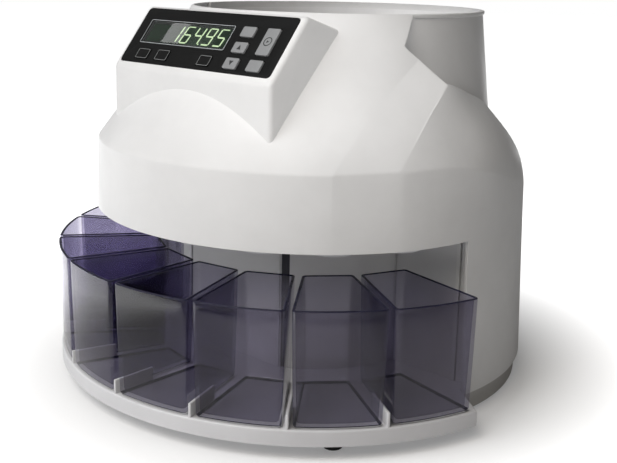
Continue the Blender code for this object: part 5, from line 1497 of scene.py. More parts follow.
class COUNTER_OT_disc(bpy.types.Operator):
    """Feeder disc with its fingers, and the cap over its boss"""
    bl_idname = "counter.disc"
    bl_label = "Feeder disc"

    def execute(self, context):
        chosen = context.scene.counter_disc
        worn = [c * DISC_WORN_SHARE for c in chosen.colour]
        grey = finish("disc_grey", chosen.colour, worn, smooth=0.25, rough=0.5, patch=0.012, dust=0.2)
        foot, top = DISC_FOOT + CLEARANCE, DISC_TOP
        grooves = []
        first, last = (DISC_R * share for share in GROOVE_SHARES)
        for r in even(GROOVE_COUNT - 1, first, last):
            grooves += [(r - GROOVE_HALF_WIDTH, top), (r, top - GROOVE_DEPTH), (r + GROOVE_HALF_WIDTH, top)]
        profile = [(SHAFT_R + CLEARANCE, foot), (DISC_R - DISC_FOOT_EDGE, foot),
                   (DISC_R, foot + DISC_FOOT_EDGE), (DISC_R, top - DISC_EDGE),
                   (DISC_R - DISC_EDGE, top)] + grooves[::-1]
        boss_top = top + DISC_BOSS_HEIGHT
        profile += [(DISC_BOSS_R, top), (DISC_BOSS_R, boss_top), (SHAFT_R + CLEARANCE, boss_top)]
        disc = turned_mesh(profile, segments=WIDE_ROUND, closed_loop=True)
        finger = box_mesh(-FINGER_WIDTH / 2, -FINGER_OUTER_R, top - OVERLAP, FINGER_WIDTH / 2,
                          -FINGER_INNER_R, top + FINGER_HEIGHT, FINGER_EDGE)
        fingers = copies_round(finger, chosen.fingers, 2 * math.pi / chosen.fingers, 0.0, grey)
        piece("feeder_disc", moved(joined([disc, fingers]), TO_SPINDLE), [grey], "spindle", ["feeder_disc"])
        black = finish("cap_black", (0.03, 0.03, 0.033), worn=(0.05, 0.05, 0.05), smooth=0.22, rough=0.4,
                       dust=0.1)
        z = boss_top + CLEARANCE
        profile = rounded_profile(
            ((AXIS_R, z), (CAP_R, z), (CAP_R, z + CAP_HEIGHT * CAP_SIDE_SHARE),
             (CAP_R * CAP_TOP_SHARE, z + CAP_HEIGHT), (AXIS_R, z + CAP_HEIGHT)), CAP_ROUND, 6)
        piece("disc_cap", moved(turned_mesh(profile, segments=2 * ROUND), TO_SPINDLE), [black], "spindle",
              ["disc_cap"])
        return {"FINISHED"}


# Control panel

def flat_ring(rect, width, radius, h0, h1):
    """Thin line round a rounded box on the panel."""
    outer = rounded_box(*rect, radius)
    inner = rounded_box(*grown(rect, -width), max(radius - width, LINE_CORNER))
    return plate_mesh([outer, inner], h0, h1)


class PanelSettings(bpy.types.PropertyGroup):
    colour: FloatVectorProperty(
        name="Colour", description="Colour of the glossy panel plate", subtype="COLOR",
        default=(0.0045, 0.0045, 0.0045), min=0.0, max=1.0)
    line_colour: FloatVectorProperty(
        name="Line colour", description="Colour of the printed outlines", subtype="COLOR",
        default=(0.55, 0.58, 0.60), min=0.0, max=1.0)
    line_width: FloatProperty(
        name="Line width", description="Width of the printed outlines", subtype="DISTANCE", unit="LENGTH",
        default=0.00032, min=0.0001, max=0.0010)


class COUNTER_OT_panel(bpy.types.Operator):
    """Glossy plate of the control panel with its printed outlines"""
    bl_idname = "counter.panel"
    bl_label = "Panel plate"

    def execute(self, context):
        chosen = context.scene.counter_panel
        black = finish("panel_black", chosen.colour, worn=(0.006, 0.006, 0.006), smooth=0.40, rough=0.50,
                       dust=0.003, grain_depth=0.000002, wave_depth=0.00001, patch=0.03, specular=0.08)
        low = -OVERLAY_THICKNESS + CLEARANCE
        openings = [rounded_box(*grown(rect, CLEARANCE), KEY_CORNER) for rect in KEYS.values()]
        openings.append(rounded_box(*WINDOW, KEY_CORNER))
        outline = rounded_box(-PANEL_HALF_WIDTH, 0.0, PANEL_HALF_WIDTH, PANEL_LENGTH, PANEL_CORNER)
        plate = plate_mesh([outline] + openings, low, OVERLAY_PROUD, OVERLAY_EDGE)
        piece("panel_overlay", moved(on_panel(plate), TO_SPINDLE), [black], MACHINE, ["panel_overlay"])
        pale = finish("panel_print", chosen.line_colour, smooth=0.35, rough=0.5, dust=0.0)
        line = flat_ring(grown(WINDOW, LINE_MARGIN), chosen.line_width, KEY_CORNER, OVERLAY_PROUD,
                         OVERLAY_PROUD + PRINT_THICKNESS)
        piece("panel_print", moved(on_panel(line), TO_SPINDLE), [pale], MACHINE)
        return {"FINISHED"}


class KeySettings(bpy.types.PropertyGroup):
    colour: FloatVectorProperty(
        name="Colour", description="Colour of the raised keys", subtype="COLOR", default=(0.25, 0.255, 0.26),
        min=0.0, max=1.0)
    line_colour: FloatVectorProperty(
        name="Line colour", description="Colour of the dark keys' outlines", subtype="COLOR",
        default=(0.27, 0.28, 0.28), min=0.0, max=1.0)
    line_width: FloatProperty(
        name="Line width", description="Width of the dark keys' outlines", subtype="DISTANCE", unit="LENGTH",
        default=0.00026, min=0.0001, max=0.0010)
    mark_colour: FloatVectorProperty(
        name="Mark colour", description="Colour of the signs on the keys", subtype="COLOR",
        default=(0.008, 0.008, 0.008), min=0.0, max=1.0)
    mark_size: FloatProperty(
        name="Mark size", description="Width of the arrow signs", subtype="DISTANCE", unit="LENGTH",
        default=0.0034, min=0.0010, max=0.0050)


class COUNTER_OT_keys(bpy.types.Operator):
    """Grey keys with their signs, and the dark keys beside them"""
    bl_idname = "counter.keys"
    bl_label = "Keys"

    def execute(self, context):
        chosen = context.scene.counter_keys
        grey = finish("key_grey", chosen.colour, smooth=0.40, rough=0.52, dust=0.05, patch=0.006,
                      specular=0.3)
        dark = finish("key_dark", (0.0045, 0.0045, 0.0045), worn=(0.006, 0.006, 0.006), smooth=0.40,
                      rough=0.50, dust=0.003, patch=0.006, grain_depth=0.000002, specular=0.08)
        line = finish("key_line", chosen.line_colour, smooth=0.35, rough=0.5, dust=0.0)
        ink = finish("key_mark", chosen.mark_colour, smooth=0.4, rough=0.5, dust=0.0)
        flange_top = -OVERLAY_THICKNESS - POD_WALL - CLEARANCE
        size = chosen.mark_size
        for name, rect in KEYS.items():
            x0, y0, x1, y1 = rect
            x, y = (x0 + x1) / 2, (y0 + y1) / 2
            is_dark = name in DARK_KEYS
            top = OVERLAY_PROUD + (DARK_KEY_PROUD if is_dark else KEY_PROUD)
            cap = plate_mesh([rounded_box(*rect, KEY_CORNER)], flange_top - OVERLAP, top, KEY_EDGE, 3)
            flange = box_mesh(x0 - KEY_FLANGE, y0 - KEY_FLANGE, flange_top - KEY_FLANGE_THICKNESS,
                              x1 + KEY_FLANGE, y1 + KEY_FLANGE, flange_top)
            outlines = []
            if name in ("key_up", "key_down"):
                point = size * 0.5 * (1 if name == "key_up" else -1)
                corners = [(x - size / 2, y - point), (x + size / 2, y - point), (x, y + point)]
                outlines.append([corners if name == "key_up" else corners[::-1]])
            if name == "key_start":
                radii = (size * RING_SHARE, size * RING_SHARE - RING_STROKE)
                outlines.append([circle(radius, (x, y), SMALL_ROUND) for radius in radii])
                dot = size * DOT_SHARE
                rise = dot * DOT_HEIGHT_SHARE
                outlines.append([[(x - dot, y - rise), (x + dot * DOT_REACH_SHARE, y), (x - dot, y + rise)]])
            high = top + PRINT_THICKNESS
            marks = [plate_mesh(outline, top - MERGE, high) for outline in outlines]
            if is_dark:
                marks.append(flat_ring(grown(rect, -KEY_EDGE), chosen.line_width, KEY_CORNER - KEY_EDGE,
                                       top - MERGE, high))
            mesh = joined([cap, flange] + [(mark, 1) for mark in marks])
            mesh = moved(on_panel(mesh), TO_SPINDLE)
            piece(name, mesh, [dark, line] if is_dark else [grey, ink], name, [name])
        return {"FINISHED"}


class DisplaySettings(bpy.types.PropertyGroup):
    reading: StringProperty(
        name="Reading", description="Digits shown, with a point where one is wanted", default="164.95")
    colour: FloatVectorProperty(
        name="Digit colour", description="Colour of the lit digits", subtype="COLOR",
        default=(0.80, 0.93, 0.60), min=0.0, max=1.0)
    height: FloatProperty(
        name="Digit height", description="Height of one digit", subtype="DISTANCE", unit="LENGTH",
        default=0.0137, min=0.0050, max=0.0160)
    slant: FloatProperty(
        name="Slant", description="Lean of the digits to the right", subtype="ANGLE", unit="ROTATION",
        default=math.radians(9.0), min=0.0, max=0.5)


SEGMENTS_LIT = {
    "0": "abcdef", "1": "bc", "2": "abged", "3": "abgcd", "4": "fgbc",
    "5": "afgcd", "6": "afgedc", "7": "abc", "8": "abcdefg", "9": "abcdfg",
}


def segment_points(letter, width, height, thick):
    """Six corners of one segment of a digit that stands on its lower left corner."""
    half = thick / 2
    gap = thick * SEGMENT_GAP_SHARE
    low, middle, high = half, height / 2, height - half
    left, right = half, width - half
    spans = {"a": ((left, high), (right, high)), "b": ((right, high), (right, middle)),
             "c": ((right, middle), (right, low)), "d": ((left, low), (right, low)),
             "e": ((left, middle), (left, low)), "f": ((left, high), (left, middle)),
             "g": ((left, middle), (right, middle))}
    start, end = (Vector(p) for p in spans[letter])
    along = (end - start).normalized()
    across = Vector((-along.y, along.x)) * half
    start += along * gap
    end -= along * gap
    inset = along * half
    points = [start, start + inset + across, end - inset + across, end, end - inset - across,
              start + inset - across]
    return [tuple(p) for p in points[::-1]]


class COUNTER_OT_display(bpy.types.Operator):
    """Display window and the digits under it"""
    bl_idname = "counter.display"
    bl_label = "Display"

    def execute(self, context):
        chosen = context.scene.counter_display
        low = -OVERLAY_THICKNESS + CLEARANCE
        lens = plate_mesh([rounded_box(*grown(WINDOW, -CLEARANCE), KEY_CORNER)], low, OVERLAY_PROUD,
                          WINDOW_EDGE)
        smoked = clear_plastic("window_dark", (0.42, 0.47, 0.44), edge_colour=(0.10, 0.11, 0.10),
                               roughness=0.03)
        piece("display_window", moved(on_panel(lens), TO_SPINDLE), [smoked], MACHINE, ["display_window"])
        height = chosen.height
        width = height * DIGIT_WIDTH_SHARE
        thick = height * DIGIT_STROKE_SHARE
        pitch = height * DIGIT_PITCH_SHARE
        lit = []
        right = WINDOW[2] - DIGIT_RIGHT
        foot = WINDOW[1] + (WINDOW[3] - WINDOW[1] - height) / 2 + DIGIT_LIFT
        digits = []
        for sign in chosen.reading:
            if sign == "." and digits:
                digits[-1][1] = True
            elif sign in SEGMENTS_LIT:
                digits.append([sign, False])
        lean = math.tan(chosen.slant)
        high = low - CLEARANCE
        for i, (sign, point_after) in enumerate(reversed(digits)):
            left = right - width - i * pitch
            for letter in SEGMENTS_LIT[sign]:
                points = segment_points(letter, width, height, thick)
                corners = [(left + x + y * lean, foot + y) for x, y in points]
                lit.append(plate_mesh([corners], high - DIGIT_THICKNESS, high))
            if point_after:
                spot = (left + width + thick * POINT_GAP_SHARE, foot + thick * 0.5)
                lit.append(plate_mesh([circle(thick * POINT_SHARE, spot, POINT_SIDES)],
                                      high - DIGIT_THICKNESS, high))
        glow = lit_marks("digits_lit", chosen.colour, strength=2.4)
        piece("display_digits", moved(on_panel(joined(lit)), TO_SPINDLE), [glow], MACHINE,
              smooth=0.0)
        filter_green = finish("display_filter", (0.012, 0.040, 0.016), worn=(0.016, 0.050, 0.020), smooth=0.5,
                              rough=0.6, dust=0.0, grain_depth=0.0, wave_depth=0.0, specular=0.1)
        x0, y0, x1, y1 = grown(WINDOW, -WINDOW_LEDGE)
        depth = -DISPLAY_BOARD_DEPTH + CLEARANCE
        module = box_mesh(x0, y0, depth, x1, y1, depth + DISPLAY_MODULE_HEIGHT, DISPLAY_MODULE_EDGE)
        backing = box_mesh(x0 + MERGE, y0 + MERGE, high - 3 * DIGIT_THICKNESS, x1 - MERGE, y1 - MERGE,
                           high - 2 * DIGIT_THICKNESS)
        piece("display_module", moved(on_panel(joined([module, backing])), TO_SPINDLE), [filter_green],
              MACHINE, ["display_module"])
        mask = flat_ring(grown(WINDOW, -CLEARANCE), WINDOW_LEDGE, MASK_CORNER, low - MASK_FOOT,
                         low - MASK_TOP)
        shade = finish("display_mask", (0.010, 0.011, 0.011), worn=(0.015, 0.016, 0.016), smooth=0.4,
                       rough=0.6, dust=0.0)
        piece("display_mask", moved(on_panel(mask), TO_SPINDLE), [shade], MACHINE)
        return {"FINISHED"}


# Rear, feet, screws and the parts inside

def cross_screw_mesh(radius, height, shank_radius, length):
    """Pan head screw with a cross recess, its head below and its shank upwards from the middle."""
    head = rounded_profile(
        ((FINE_AXIS_R, 0.0), (radius, 0.0), (radius, height), (shank_radius, height),
         (shank_radius, height + length), (FINE_AXIS_R, height + length)), radius * SCREW_ROUND_SHARE, 4)
    screw = turned_mesh(head, segments=SMALL_ROUND)
    half = radius * CROSS_HALF_SHARE
    reach = radius * CROSS_REACH_SHARE
    slots = [box_mesh(-reach, -half, -height, reach, half, height * 0.5),
             box_mesh(-half, -reach, -height, half, reach, height * 0.5)]
    return combined(screw, slots, "DIFFERENCE")


def underside_spots(names):
    """Middle of each node's underside, and the size of the last."""
    spots = []
    for name in names:
        low, high = (Vector(corner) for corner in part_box(name))
        spots.append(((low.x + high.x) / 2, (low.y + high.y) / 2, low.z))
    return spots, high - low


class FastenerSettings(bpy.types.PropertyGroup):
    head_radius: FloatProperty(
        name="Head radius", description="Radius of the screw heads", subtype="DISTANCE", unit="LENGTH",
        default=0.0028, min=0.0015, max=0.0035)
    rubber: FloatVectorProperty(
        name="Rubber", description="Colour of the feet", subtype="COLOR", default=(0.020, 0.020, 0.021),
        min=0.0, max=1.0)


class COUNTER_OT_fasteners(bpy.types.Operator):
    """Screws under the housing and the rubber feet"""
    bl_idname = "counter.fasteners"
    bl_label = "Screws and feet"

    def execute(self, context):
        chosen = context.scene.counter_fasteners
        zinc = finish("zinc", (0.50, 0.50, 0.52), worn=(0.36, 0.36, 0.37), smooth=0.25, rough=0.45,
                      metallic=1.0, patch=0.002, dust=0.1)
        screws = [f"housing_screw_{i + 1}" for i in range(SCREW_COUNT)]
        spots, size = underside_spots(screws)
        item = cross_screw_mesh(chosen.head_radius, SCREW_HEAD_HEIGHT, SCREW_R, size.z - SCREW_HEAD_HEIGHT)
        mesh = one_at_each(spots, item, 2 * math.pi, zinc)
        piece("housing_screws", mesh, [zinc], MACHINE, screws)
        rubber = finish("rubber", chosen.rubber, worn=(0.05, 0.05, 0.05), smooth=0.7, rough=0.9, dust=0.2,
                        grain=0.0004, grain_depth=0.00003, patch=0.006)
        feet = [f"foot_{i + 1}" for i in range(FOOT_COUNT)]
        spots, size = underside_spots(feet)
        radius = size.x / 2
        profile = [(FINE_AXIS_R, 0.0)] + [(radius * share, z) for share, z in FOOT_GROOVE]
        profile += [(radius, 0.0), (radius, size.z), (FINE_AXIS_R, size.z)]
        foot = turned_mesh(rounded_profile(profile, FOOT_ROUND, 3), segments=ROUND)
        piece("feet", one_at_each(spots, foot, 0.0, rubber), [rubber], MACHINE, feet)
        return {"FINISHED"}


# Pitch, foot and top of a row of contacts, and how deep they lie in their socket.
CONTACT_ROWS = {
    "serial_socket": (0.0011, -0.0011, -0.0007, 0.0035),
    "display_socket": (0.0010, -0.0040, -0.0035, 0.0025),
}


class RearSettings(bpy.types.PropertyGroup):
    colour: FloatVectorProperty(
        name="Colour", description="Colour of the rear plate", subtype="COLOR", default=(0.50, 0.50, 0.53),
        min=0.0, max=1.0)


class COUNTER_OT_rear(bpy.types.Operator):
    """Rear plate with the mains inlet, the switch and the two sockets"""
    bl_idname = "counter.rear"
    bl_label = "Rear plate"

    def execute(self, context):
        grey = finish("rear_grey", context.scene.counter_rear.colour, smooth=0.35, rough=0.5, dust=0.1,
                      patch=0.02)
        black = finish("socket_black", (0.022, 0.022, 0.024), worn=(0.035, 0.035, 0.036), smooth=0.35,
                       rough=0.55, dust=0.1, patch=0.008)
        glossy = finish("switch_black", (0.018, 0.018, 0.02), worn=(0.03, 0.03, 0.03), smooth=0.14, rough=0.3,
                        dust=0.1, patch=0.006)
        pale = finish("switch_marks", (0.75, 0.75, 0.75), smooth=0.4, rough=0.5, dust=0.0)
        gold = finish("contact_gold", (0.80, 0.58, 0.25), worn=(0.6, 0.42, 0.2), smooth=0.2, rough=0.35,
                      metallic=1.0, patch=0.002, dust=0.0)
        low, high = (Vector(corner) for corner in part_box("rear_panel"))
        sockets = {name: [Vector(corner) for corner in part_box(name)] for name in
                   ("power_inlet", "switch_frame", "display_socket", "serial_socket")}
        bodies = [grown((a.x, a.z, b.x, b.z), -PORT_LIP + CLEARANCE) for a, b in sockets.values()]
        outline = rounded_box(low.x, low.z, high.x, high.z, REAR_CORNER, 3)
        holes = [rounded_box(*rect, REAR_HOLE_CORNER, 1) for rect in bodies]
        upright = Matrix.Translation((0.0, high.y, 0.0)) @ ON_ITS_BACK
        plate = moved(plate_mesh([outline] + holes, 0.0, high.y - low.y, REAR_EDGE), upright)
        piece("rear_panel", plate, [grey], MACHINE, ["rear_panel"])
        for name, (a, b) in sockets.items():
            face = b.y
            lip = rounded_box(a.x, a.z, b.x, b.z, PORT_CORNER, 5)
            x0, z0, x1, z1 = grown((a.x, a.z, b.x, b.z), -PORT_LIP)
            turn = Matrix.Translation((0.0, face, 0.0)) @ ON_ITS_BACK
            body = combined(box_mesh(x0, a.y, z0, x1, face - PORT_FLANGE / 2, z1),
                            [moved(plate_mesh([lip], 0.0, PORT_FLANGE, PORT_EDGE), turn)], "UNION")
            bore = grown((x0, z0, x1, z1), -PORT_WALL)
            depth = ROCKER_DEPTH + PORT_FLANGE if name == "switch_frame" else SOCKET_BORES[name]
            corner = INLET_CORNER if name == "power_inlet" else SOCKET_CORNER
            well = moved(plate_mesh([rounded_box(*bore, corner, 4)], -OVERRUN, depth), turn)
            body = combined(body, [well], "DIFFERENCE")
            x, z = (a.x + b.x) / 2, (a.z + b.z) / 2
            floor = face - depth
            pins = []
            if name == "power_inlet":
                pins = [turned_pin(x + side * PIN_OFFSET, z, floor, face - PORT_FLANGE, PIN_R)
                        for side in (-1, 1)]
            if name == "serial_socket":
                block = box_mesh(x - SERIAL_BLOCK_HALF_WIDTH, floor - OVERLAP, z + SERIAL_BLOCK_FOOT,
                                 x + SERIAL_BLOCK_HALF_WIDTH, face - SERIAL_BLOCK_DEPTH, z + SERIAL_BLOCK_TOP,
                                 SERIAL_BLOCK_EDGE)
                body = joined([body, block])
            if name in CONTACT_ROWS:
                pitch, below, above, sunk = CONTACT_ROWS[name]
                pins = [box_mesh(x + k * pitch - CONTACT_HALF_WIDTH, floor, z + below,
                                 x + k * pitch + CONTACT_HALF_WIDTH, face - sunk, z + above)
                        for k in range(-2, 3)]
            mesh = joined([(body, 0)] + [(pin, 1) for pin in pins])
            piece(name, mesh, [black, gold], MACHINE, [name])
        piece("power_switch", rocker_mesh(), [glossy, pale], "power_switch", ["power_switch"])
        return {"FINISHED"}


def turned_pin(x, z, y0, y1, radius):
    """Round contact with an eased end."""
    profile = rounded_profile(
        ((FINE_AXIS_R, -OVERLAP), (radius, -OVERLAP), (radius, y1 - y0), (FINE_AXIS_R, y1 - y0)),
        radius * PIN_ROUND_SHARE, 3)
    turn = Matrix.Translation((x, y0, z)) @ Matrix.Rotation(math.radians(-90.0), 4, "X")
    return moved(turned_mesh(profile, segments=SMALL_ROUND), turn)


def rocker_mesh():
    """Rocker with a dished face and its two signs, in its place at rest."""
    low, high = (Vector(corner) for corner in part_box("power_switch"))
    hinge_y = SPINDLE.y + REAR_PANEL_Y + REAR_PANEL_THICKNESS + CLEARANCE
    half_height = (high.z - low.z) / 2
    half_width = (high.x - low.x) / 2
    middle_z = (high.z + low.z) / 2
    back = low.y - hinge_y
    outline = [(back, -half_height), (PORT_FLANGE / 2, -half_height)]
    for t in even(12, *ROCKER_FACE):
        z = lerp(-half_height, half_height, t)
        if t < 0.5:
            straight = lerp(PORT_FLANGE / 2, PORT_FLANGE, t * 2)
        else:
            straight = lerp(PORT_FLANGE, PORT_FLANGE + ROCKER_CROWN / 2, t * 2 - 1)
        outline.append((straight - ROCKER_DISH * math.sin(math.pi * t), z))
    outline += [(high.y - hinge_y, half_height), (back, half_height)]
    body = loft_mesh([[(x, y, z) for y, z in outline] for x in (-half_width, half_width)])
    body = softened(body, ROCKER_EDGE, 3, angle=50.0)
    place = Matrix.Translation(((low.x + high.x) / 2, hinge_y, middle_z))
    tilt = Matrix.Rotation(-math.atan2(PORT_FLANGE / 2, half_height), 4, "X")
    sign_z = half_height * ROCKER_SIGN_SHARE
    dot_place = Matrix.Translation((0.0, PORT_FLANGE + ROCKER_DOT_LIFT, sign_z)) @ tilt @ ON_ITS_BACK
    dot = plate_mesh([circle(radius, segments=SMALL_ROUND) for radius in ROCKER_DOT], 0.0, PRINT_THICKNESS)
    bar_y = PORT_FLANGE * ROCKER_BAR_SHARE + ROCKER_BAR_LIFT
    bar_place = Matrix.Translation((0.0, bar_y, -sign_z)) @ tilt @ ON_ITS_BACK
    bar_x, bar_z = ROCKER_BAR
    bar = box_mesh(-bar_x, -bar_z, 0.0, bar_x, bar_z, PRINT_THICKNESS)
    return moved(joined([body, (moved(dot, dot_place), 1), (moved(bar, bar_place), 1)]), place)


CARRIED_OVER = {
    "sorting_ring": "steel", "sensor_board": "board", "drive_shaft": "steel", "drive_gear": "acetal",
    "circlip_lower": "zinc", "circlip_upper": "zinc", "bearing_lower": "steel", "bearing_upper": "steel",
    "motor_pinion": "brass", "motor_shaft": "steel", "drive_motor": "zinc", "motor_bracket": "zinc",
    "display_board": "board", "main_board": "board", "power_board": "board", "transformer": "core",
    "power_capacitor": "sleeve",
}


class InsideSettings(bpy.types.PropertyGroup):
    board_colour: FloatVectorProperty(
        name="Board colour", description="Colour of the circuit boards", subtype="COLOR",
        default=(0.012, 0.105, 0.040), min=0.0, max=1.0)


class COUNTER_OT_inside(bpy.types.Operator):
    """Finishes of the parts inside that keep their own shape"""
    bl_idname = "counter.inside"
    bl_label = "Parts inside"

    def execute(self, context):
        finishes = {
            "steel": finish("steel", (0.56, 0.56, 0.57), worn=(0.42, 0.42, 0.43), smooth=0.18, rough=0.36,
                            metallic=1.0, patch=0.006, dust=0.05),
            "zinc": finish("plated_zinc", (0.52, 0.52, 0.53), worn=(0.40, 0.40, 0.40), smooth=0.3, rough=0.48,
                           metallic=1.0, patch=0.004, dust=0.05),
            "brass": finish("brass", (0.72, 0.52, 0.24), worn=(0.5, 0.34, 0.15), smooth=0.2, rough=0.4,
                            metallic=1.0, patch=0.003),
            "acetal": finish("acetal", (0.78, 0.76, 0.70), smooth=0.3, rough=0.45, patch=0.01),
            "board": finish("board_green", context.scene.counter_inside.board_colour, worn=(0.02, 0.15, 0.06),
                            smooth=0.25, rough=0.42, patch=0.003, grain=0.0012, grain_depth=0.00002),
            "core": finish("transformer_core", (0.20, 0.19, 0.18), worn=(0.30, 0.16, 0.08), smooth=0.4,
                           rough=0.6, metallic=0.6, patch=0.008),
            "sleeve": finish("capacitor_sleeve", (0.02, 0.03, 0.06), worn=(0.03, 0.04, 0.08), smooth=0.2,
                             rough=0.35, patch=0.006),
        }
        for node, kind in CARRIED_OVER.items():
            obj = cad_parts[node]
            for slot in obj.material_slots:
                slot.material = finishes[kind]
        return {"FINISHED"}


# Stage

class StageSettings(bpy.types.PropertyGroup):
    floor: FloatVectorProperty(
        name="Floor", description="Colour of the floor", subtype="COLOR", default=(0.82, 0.82, 0.82),
        min=0.0, max=1.0)
    key_power: FloatProperty(
        name="Key light", description="Power of the low light on the left", unit="POWER", default=11.5,
        min=0.0)
    high_power: FloatProperty(
        name="High light", description="Power of the high light on the left", unit="POWER", default=15.0,
        min=0.0)
    fill_power: FloatProperty(
        name="Fill light", description="Power of the high light on the right", unit="POWER", default=12.0,
        min=0.0)
    fill_colour: FloatVectorProperty(
        name="Fill colour", description="Colour of the light on the right", subtype="COLOR",
        default=(1.0, 0.925, 0.84), min=0.0, max=1.0)
    spot_power: FloatProperty(
        name="Spot light", description="Power of the spot on the upper part", unit="POWER", default=60.0,
        min=0.0)
    glare_power: FloatProperty(
        name="Glare light", description="Power of the light that only glossy parts mirror", unit="POWER",
        default=0.45, min=0.0)
    ambient: FloatProperty(
        name="Ambient", description="Strength of the even light from all round", default=0.01, min=0.0)
    mirrored: FloatProperty(
        name="Mirrored", description="Strength of the surroundings that glossy parts mirror", default=0.25,
        min=0.0)
    floor_mirrored: FloatProperty(
        name="Mirrored floor", description="Strength of the floor that glossy parts mirror", default=1.6,
        min=0.0)
    floor_bounced: FloatProperty(
        name="Bounced floor", description="Strength of the floor that lights what is near", default=0.18,
        min=0.0)


def area_light(name, angles, power, aim=None, size=None, roll=0.0, colour=(1.0, 1.0, 1.0)):
    """Square soft light, placed by its angle round its aim from the front and by its height angle."""
    data = bpy.data.lights.new(name, "AREA")
    data.shape = "SQUARE"
    data.size = size or LIGHT_SIZE
    data.color = colour
    return placed_light(data, angles, power, aim or LIGHT_AIM, roll)


def spot_light(name, angles, power, aim):
    """Soft spot that reaches only the upper part of the body."""
    data = bpy.data.lights.new(name, "SPOT")
    data.spot_size = 2 * math.atan(SPOT_REACH / LIGHT_DISTANCE)
    data.spot_blend = 1.0
    data.shadow_soft_size = SPOT_RADIUS
    return placed_light(data, angles, power, aim)


def placed_light(data, angles, power, aim, roll=0.0):
    """Object for a lamp, at its angles round its aim and turned towards it."""
    data.energy = power
    obj = bpy.data.objects.new(data.name, data)
    turn, rise = angles
    obj.location = aim + around(LIGHT_DISTANCE * math.cos(rise), turn, LIGHT_DISTANCE * math.sin(rise))
    facing = (aim - obj.location).to_track_quat("-Z", "Y") @ Quaternion((0.0, 0.0, 1.0), roll)
    obj.rotation_euler = facing.to_euler()
    bpy.context.scene.collection.objects.link(obj)
    return obj


def seen_strength(nodes, link, mirrored, unseen):
    """One for camera and glass rays, and lower values for rays that mirror and for all others."""
    rays = nodes.new("ShaderNodeLightPath")
    direct = sum_node(nodes, link, "MAXIMUM", rays.outputs["Is Camera Ray"],
                      rays.outputs["Is Transmission Ray"])
    other = span_node(nodes, link, rays.outputs["Is Glossy Ray"], unseen, mirrored)
    return span_node(nodes, link, direct, other, 1.0)


def floor_material(colour, mirrored, bounced):
    """Pale floor that keeps the shadows near the object and runs out to the white of the backdrop."""
    material, nodes, link, surface = new_material("floor_pale")
    surface.inputs["Base Color"].default_value = (*colour, 1.0)
    surface.inputs["Roughness"].default_value = 0.9
    surface.inputs["Specular IOR Level"].default_value = 0.1
    place = nodes.new("ShaderNodeTexCoord")
    reach = nodes.new("ShaderNodeVectorMath")
    reach.operation = "LENGTH"
    link(place.outputs["Object"], reach.inputs[0])
    lift = span_node(nodes, link, reach.outputs["Value"], FLOOR_LIFT, 1.0, FLOOR_NEAR, FLOOR_FAR)
    sides = nodes.new("ShaderNodeSeparateXYZ")
    link(place.outputs["Object"], sides.inputs[0])
    left = span_node(nodes, link, sides.outputs["X"], 0.0, mirrored, FLOOR_DARK_X, FLOOR_BRIGHT_X)
    glow = nodes.new("ShaderNodeEmission")
    glow.inputs["Color"].default_value = (1.0, 1.0, 1.0, 1.0)
    seen = seen_strength(nodes, link, left, bounced)
    link(sum_node(nodes, link, "MULTIPLY", seen, lift), glow.inputs["Strength"])
    both = nodes.new("ShaderNodeAddShader")
    link(surface.outputs[0], both.inputs[0])
    link(glow.outputs[0], both.inputs[1])
    link(both.outputs[0], nodes["Material Output"].inputs["Surface"])
    return material


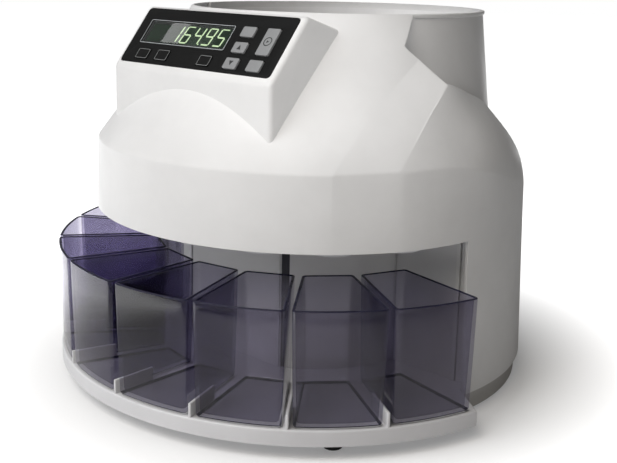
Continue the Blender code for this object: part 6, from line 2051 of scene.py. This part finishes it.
class COUNTER_OT_stage(bpy.types.Operator):
    """Pale floor, soft light and the camera"""
    bl_idname = "counter.stage"
    bl_label = "Stage"

    def execute(self, context):
        scene = context.scene
        chosen = scene.counter_stage
        sheet = plate_mesh([circle(FLOOR_R, segments=WIDE_ROUND)], -FLOOR_THICKNESS, 0.0)
        floor = bpy.data.objects.new("floor", sheet)
        scene.collection.objects.link(floor)
        floor.data.materials.append(floor_material(chosen.floor, chosen.floor_mirrored, chosen.floor_bounced))

        world = bpy.data.worlds.new("studio")
        scene.world = world
        world.use_nodes = True
        nodes, link = world.node_tree.nodes, world.node_tree.links.new
        background = nodes["Background"]
        background.inputs["Color"].default_value = (1.0, 1.0, 1.0, 1.0)
        link(seen_strength(nodes, link, chosen.mirrored, chosen.ambient), background.inputs["Strength"])

        area_light("key_light", KEY_LIGHT_ANGLES, chosen.key_power, colour=COOL_LIGHT)
        area_light("high_light", HIGH_LIGHT_ANGLES, chosen.high_power, colour=COOL_LIGHT)
        area_light("fill_light", FILL_LIGHT_ANGLES, chosen.fill_power, colour=chosen.fill_colour)
        spot_light("top_light", SPOT_ANGLES, chosen.spot_power, SPOT_AIM)
        glare = area_light("glare_light", GLARE_ANGLES, chosen.glare_power, GLARE_AIM, GLARE_SIZE, GLARE_ROLL)
        glare.visible_diffuse = False
        scene.view_settings.view_transform = "Standard"

        camera = bpy.data.cameras.new("camera")
        camera.sensor_width = 36.0
        camera.lens = CAMERA_LENS
        camera.shift_x, camera.shift_y = CAMERA_SHIFT
        camera.clip_start = 0.01
        holder = bpy.data.objects.new("camera", camera)
        azimuth, pitch, roll = (math.radians(a) for a in CAMERA_ANGLES)
        back = Vector((math.sin(azimuth) * math.cos(pitch), -math.cos(azimuth) * math.cos(pitch),
                       math.sin(pitch)))
        right = (-back).cross(Vector((0.0, 0.0, 1.0))).normalized()
        up = right.cross(-back)
        right_rolled = right * math.cos(roll) + up * math.sin(roll)
        up_rolled = up * math.cos(roll) - right * math.sin(roll)
        axes = Matrix((right_rolled, up_rolled, back)).transposed()
        holder.matrix_world = Matrix.Translation(CAMERA_PLACE) @ axes.to_4x4()
        scene.collection.objects.link(holder)
        scene.camera = holder
        return {"FINISHED"}


OPERATORS = (COUNTER_OT_housing, COUNTER_OT_base, COUNTER_OT_bay, COUNTER_OT_deck, COUNTER_OT_cups,
             COUNTER_OT_hopper, COUNTER_OT_disc, COUNTER_OT_panel, COUNTER_OT_keys, COUNTER_OT_display,
             COUNTER_OT_rear, COUNTER_OT_fasteners, COUNTER_OT_inside, COUNTER_OT_stage)
SETTINGS = {
    "counter_housing": HousingSettings, "counter_base": BaseSettings, "counter_bay": BaySettings,
    "counter_deck": DeckSettings, "counter_cups": CupSettings, "counter_hopper": HopperSettings,
    "counter_disc": DiscSettings, "counter_panel": PanelSettings, "counter_keys": KeySettings,
    "counter_display": DisplaySettings, "counter_rear": RearSettings, "counter_fasteners": FastenerSettings,
    "counter_inside": InsideSettings, "counter_stage": StageSettings,
}


class COUNTER_PT_pieces(bpy.types.Panel):
    """Lists the counter's pieces and their sizes and colours"""
    bl_idname = "COUNTER_PT_pieces"
    bl_label = "Coin counter"
    bl_space_type = "VIEW_3D"
    bl_region_type = "UI"
    bl_category = "Counter"

    def draw(self, context):
        for operator, (name, settings) in zip(OPERATORS, SETTINGS.items()):
            box = self.layout.box()
            box.operator(operator.bl_idname)
            for label in settings.__annotations__:
                box.prop(getattr(context.scene, name), label)


def register():
    for kind in (*SETTINGS.values(), *OPERATORS, COUNTER_PT_pieces):
        bpy.utils.register_class(kind)
    for name, settings in SETTINGS.items():
        setattr(bpy.types.Scene, name, PointerProperty(type=settings))


def unregister():
    for name in SETTINGS:
        delattr(bpy.types.Scene, name)
    for kind in reversed((*SETTINGS.values(), *OPERATORS, COUNTER_PT_pieces)):
        bpy.utils.unregister_class(kind)


def main():
    register()
    for operator in OPERATORS:
        group, name = operator.bl_idname.split(".")
        getattr(getattr(bpy.ops, group), name)()


if __name__ == "__main__":
    main()
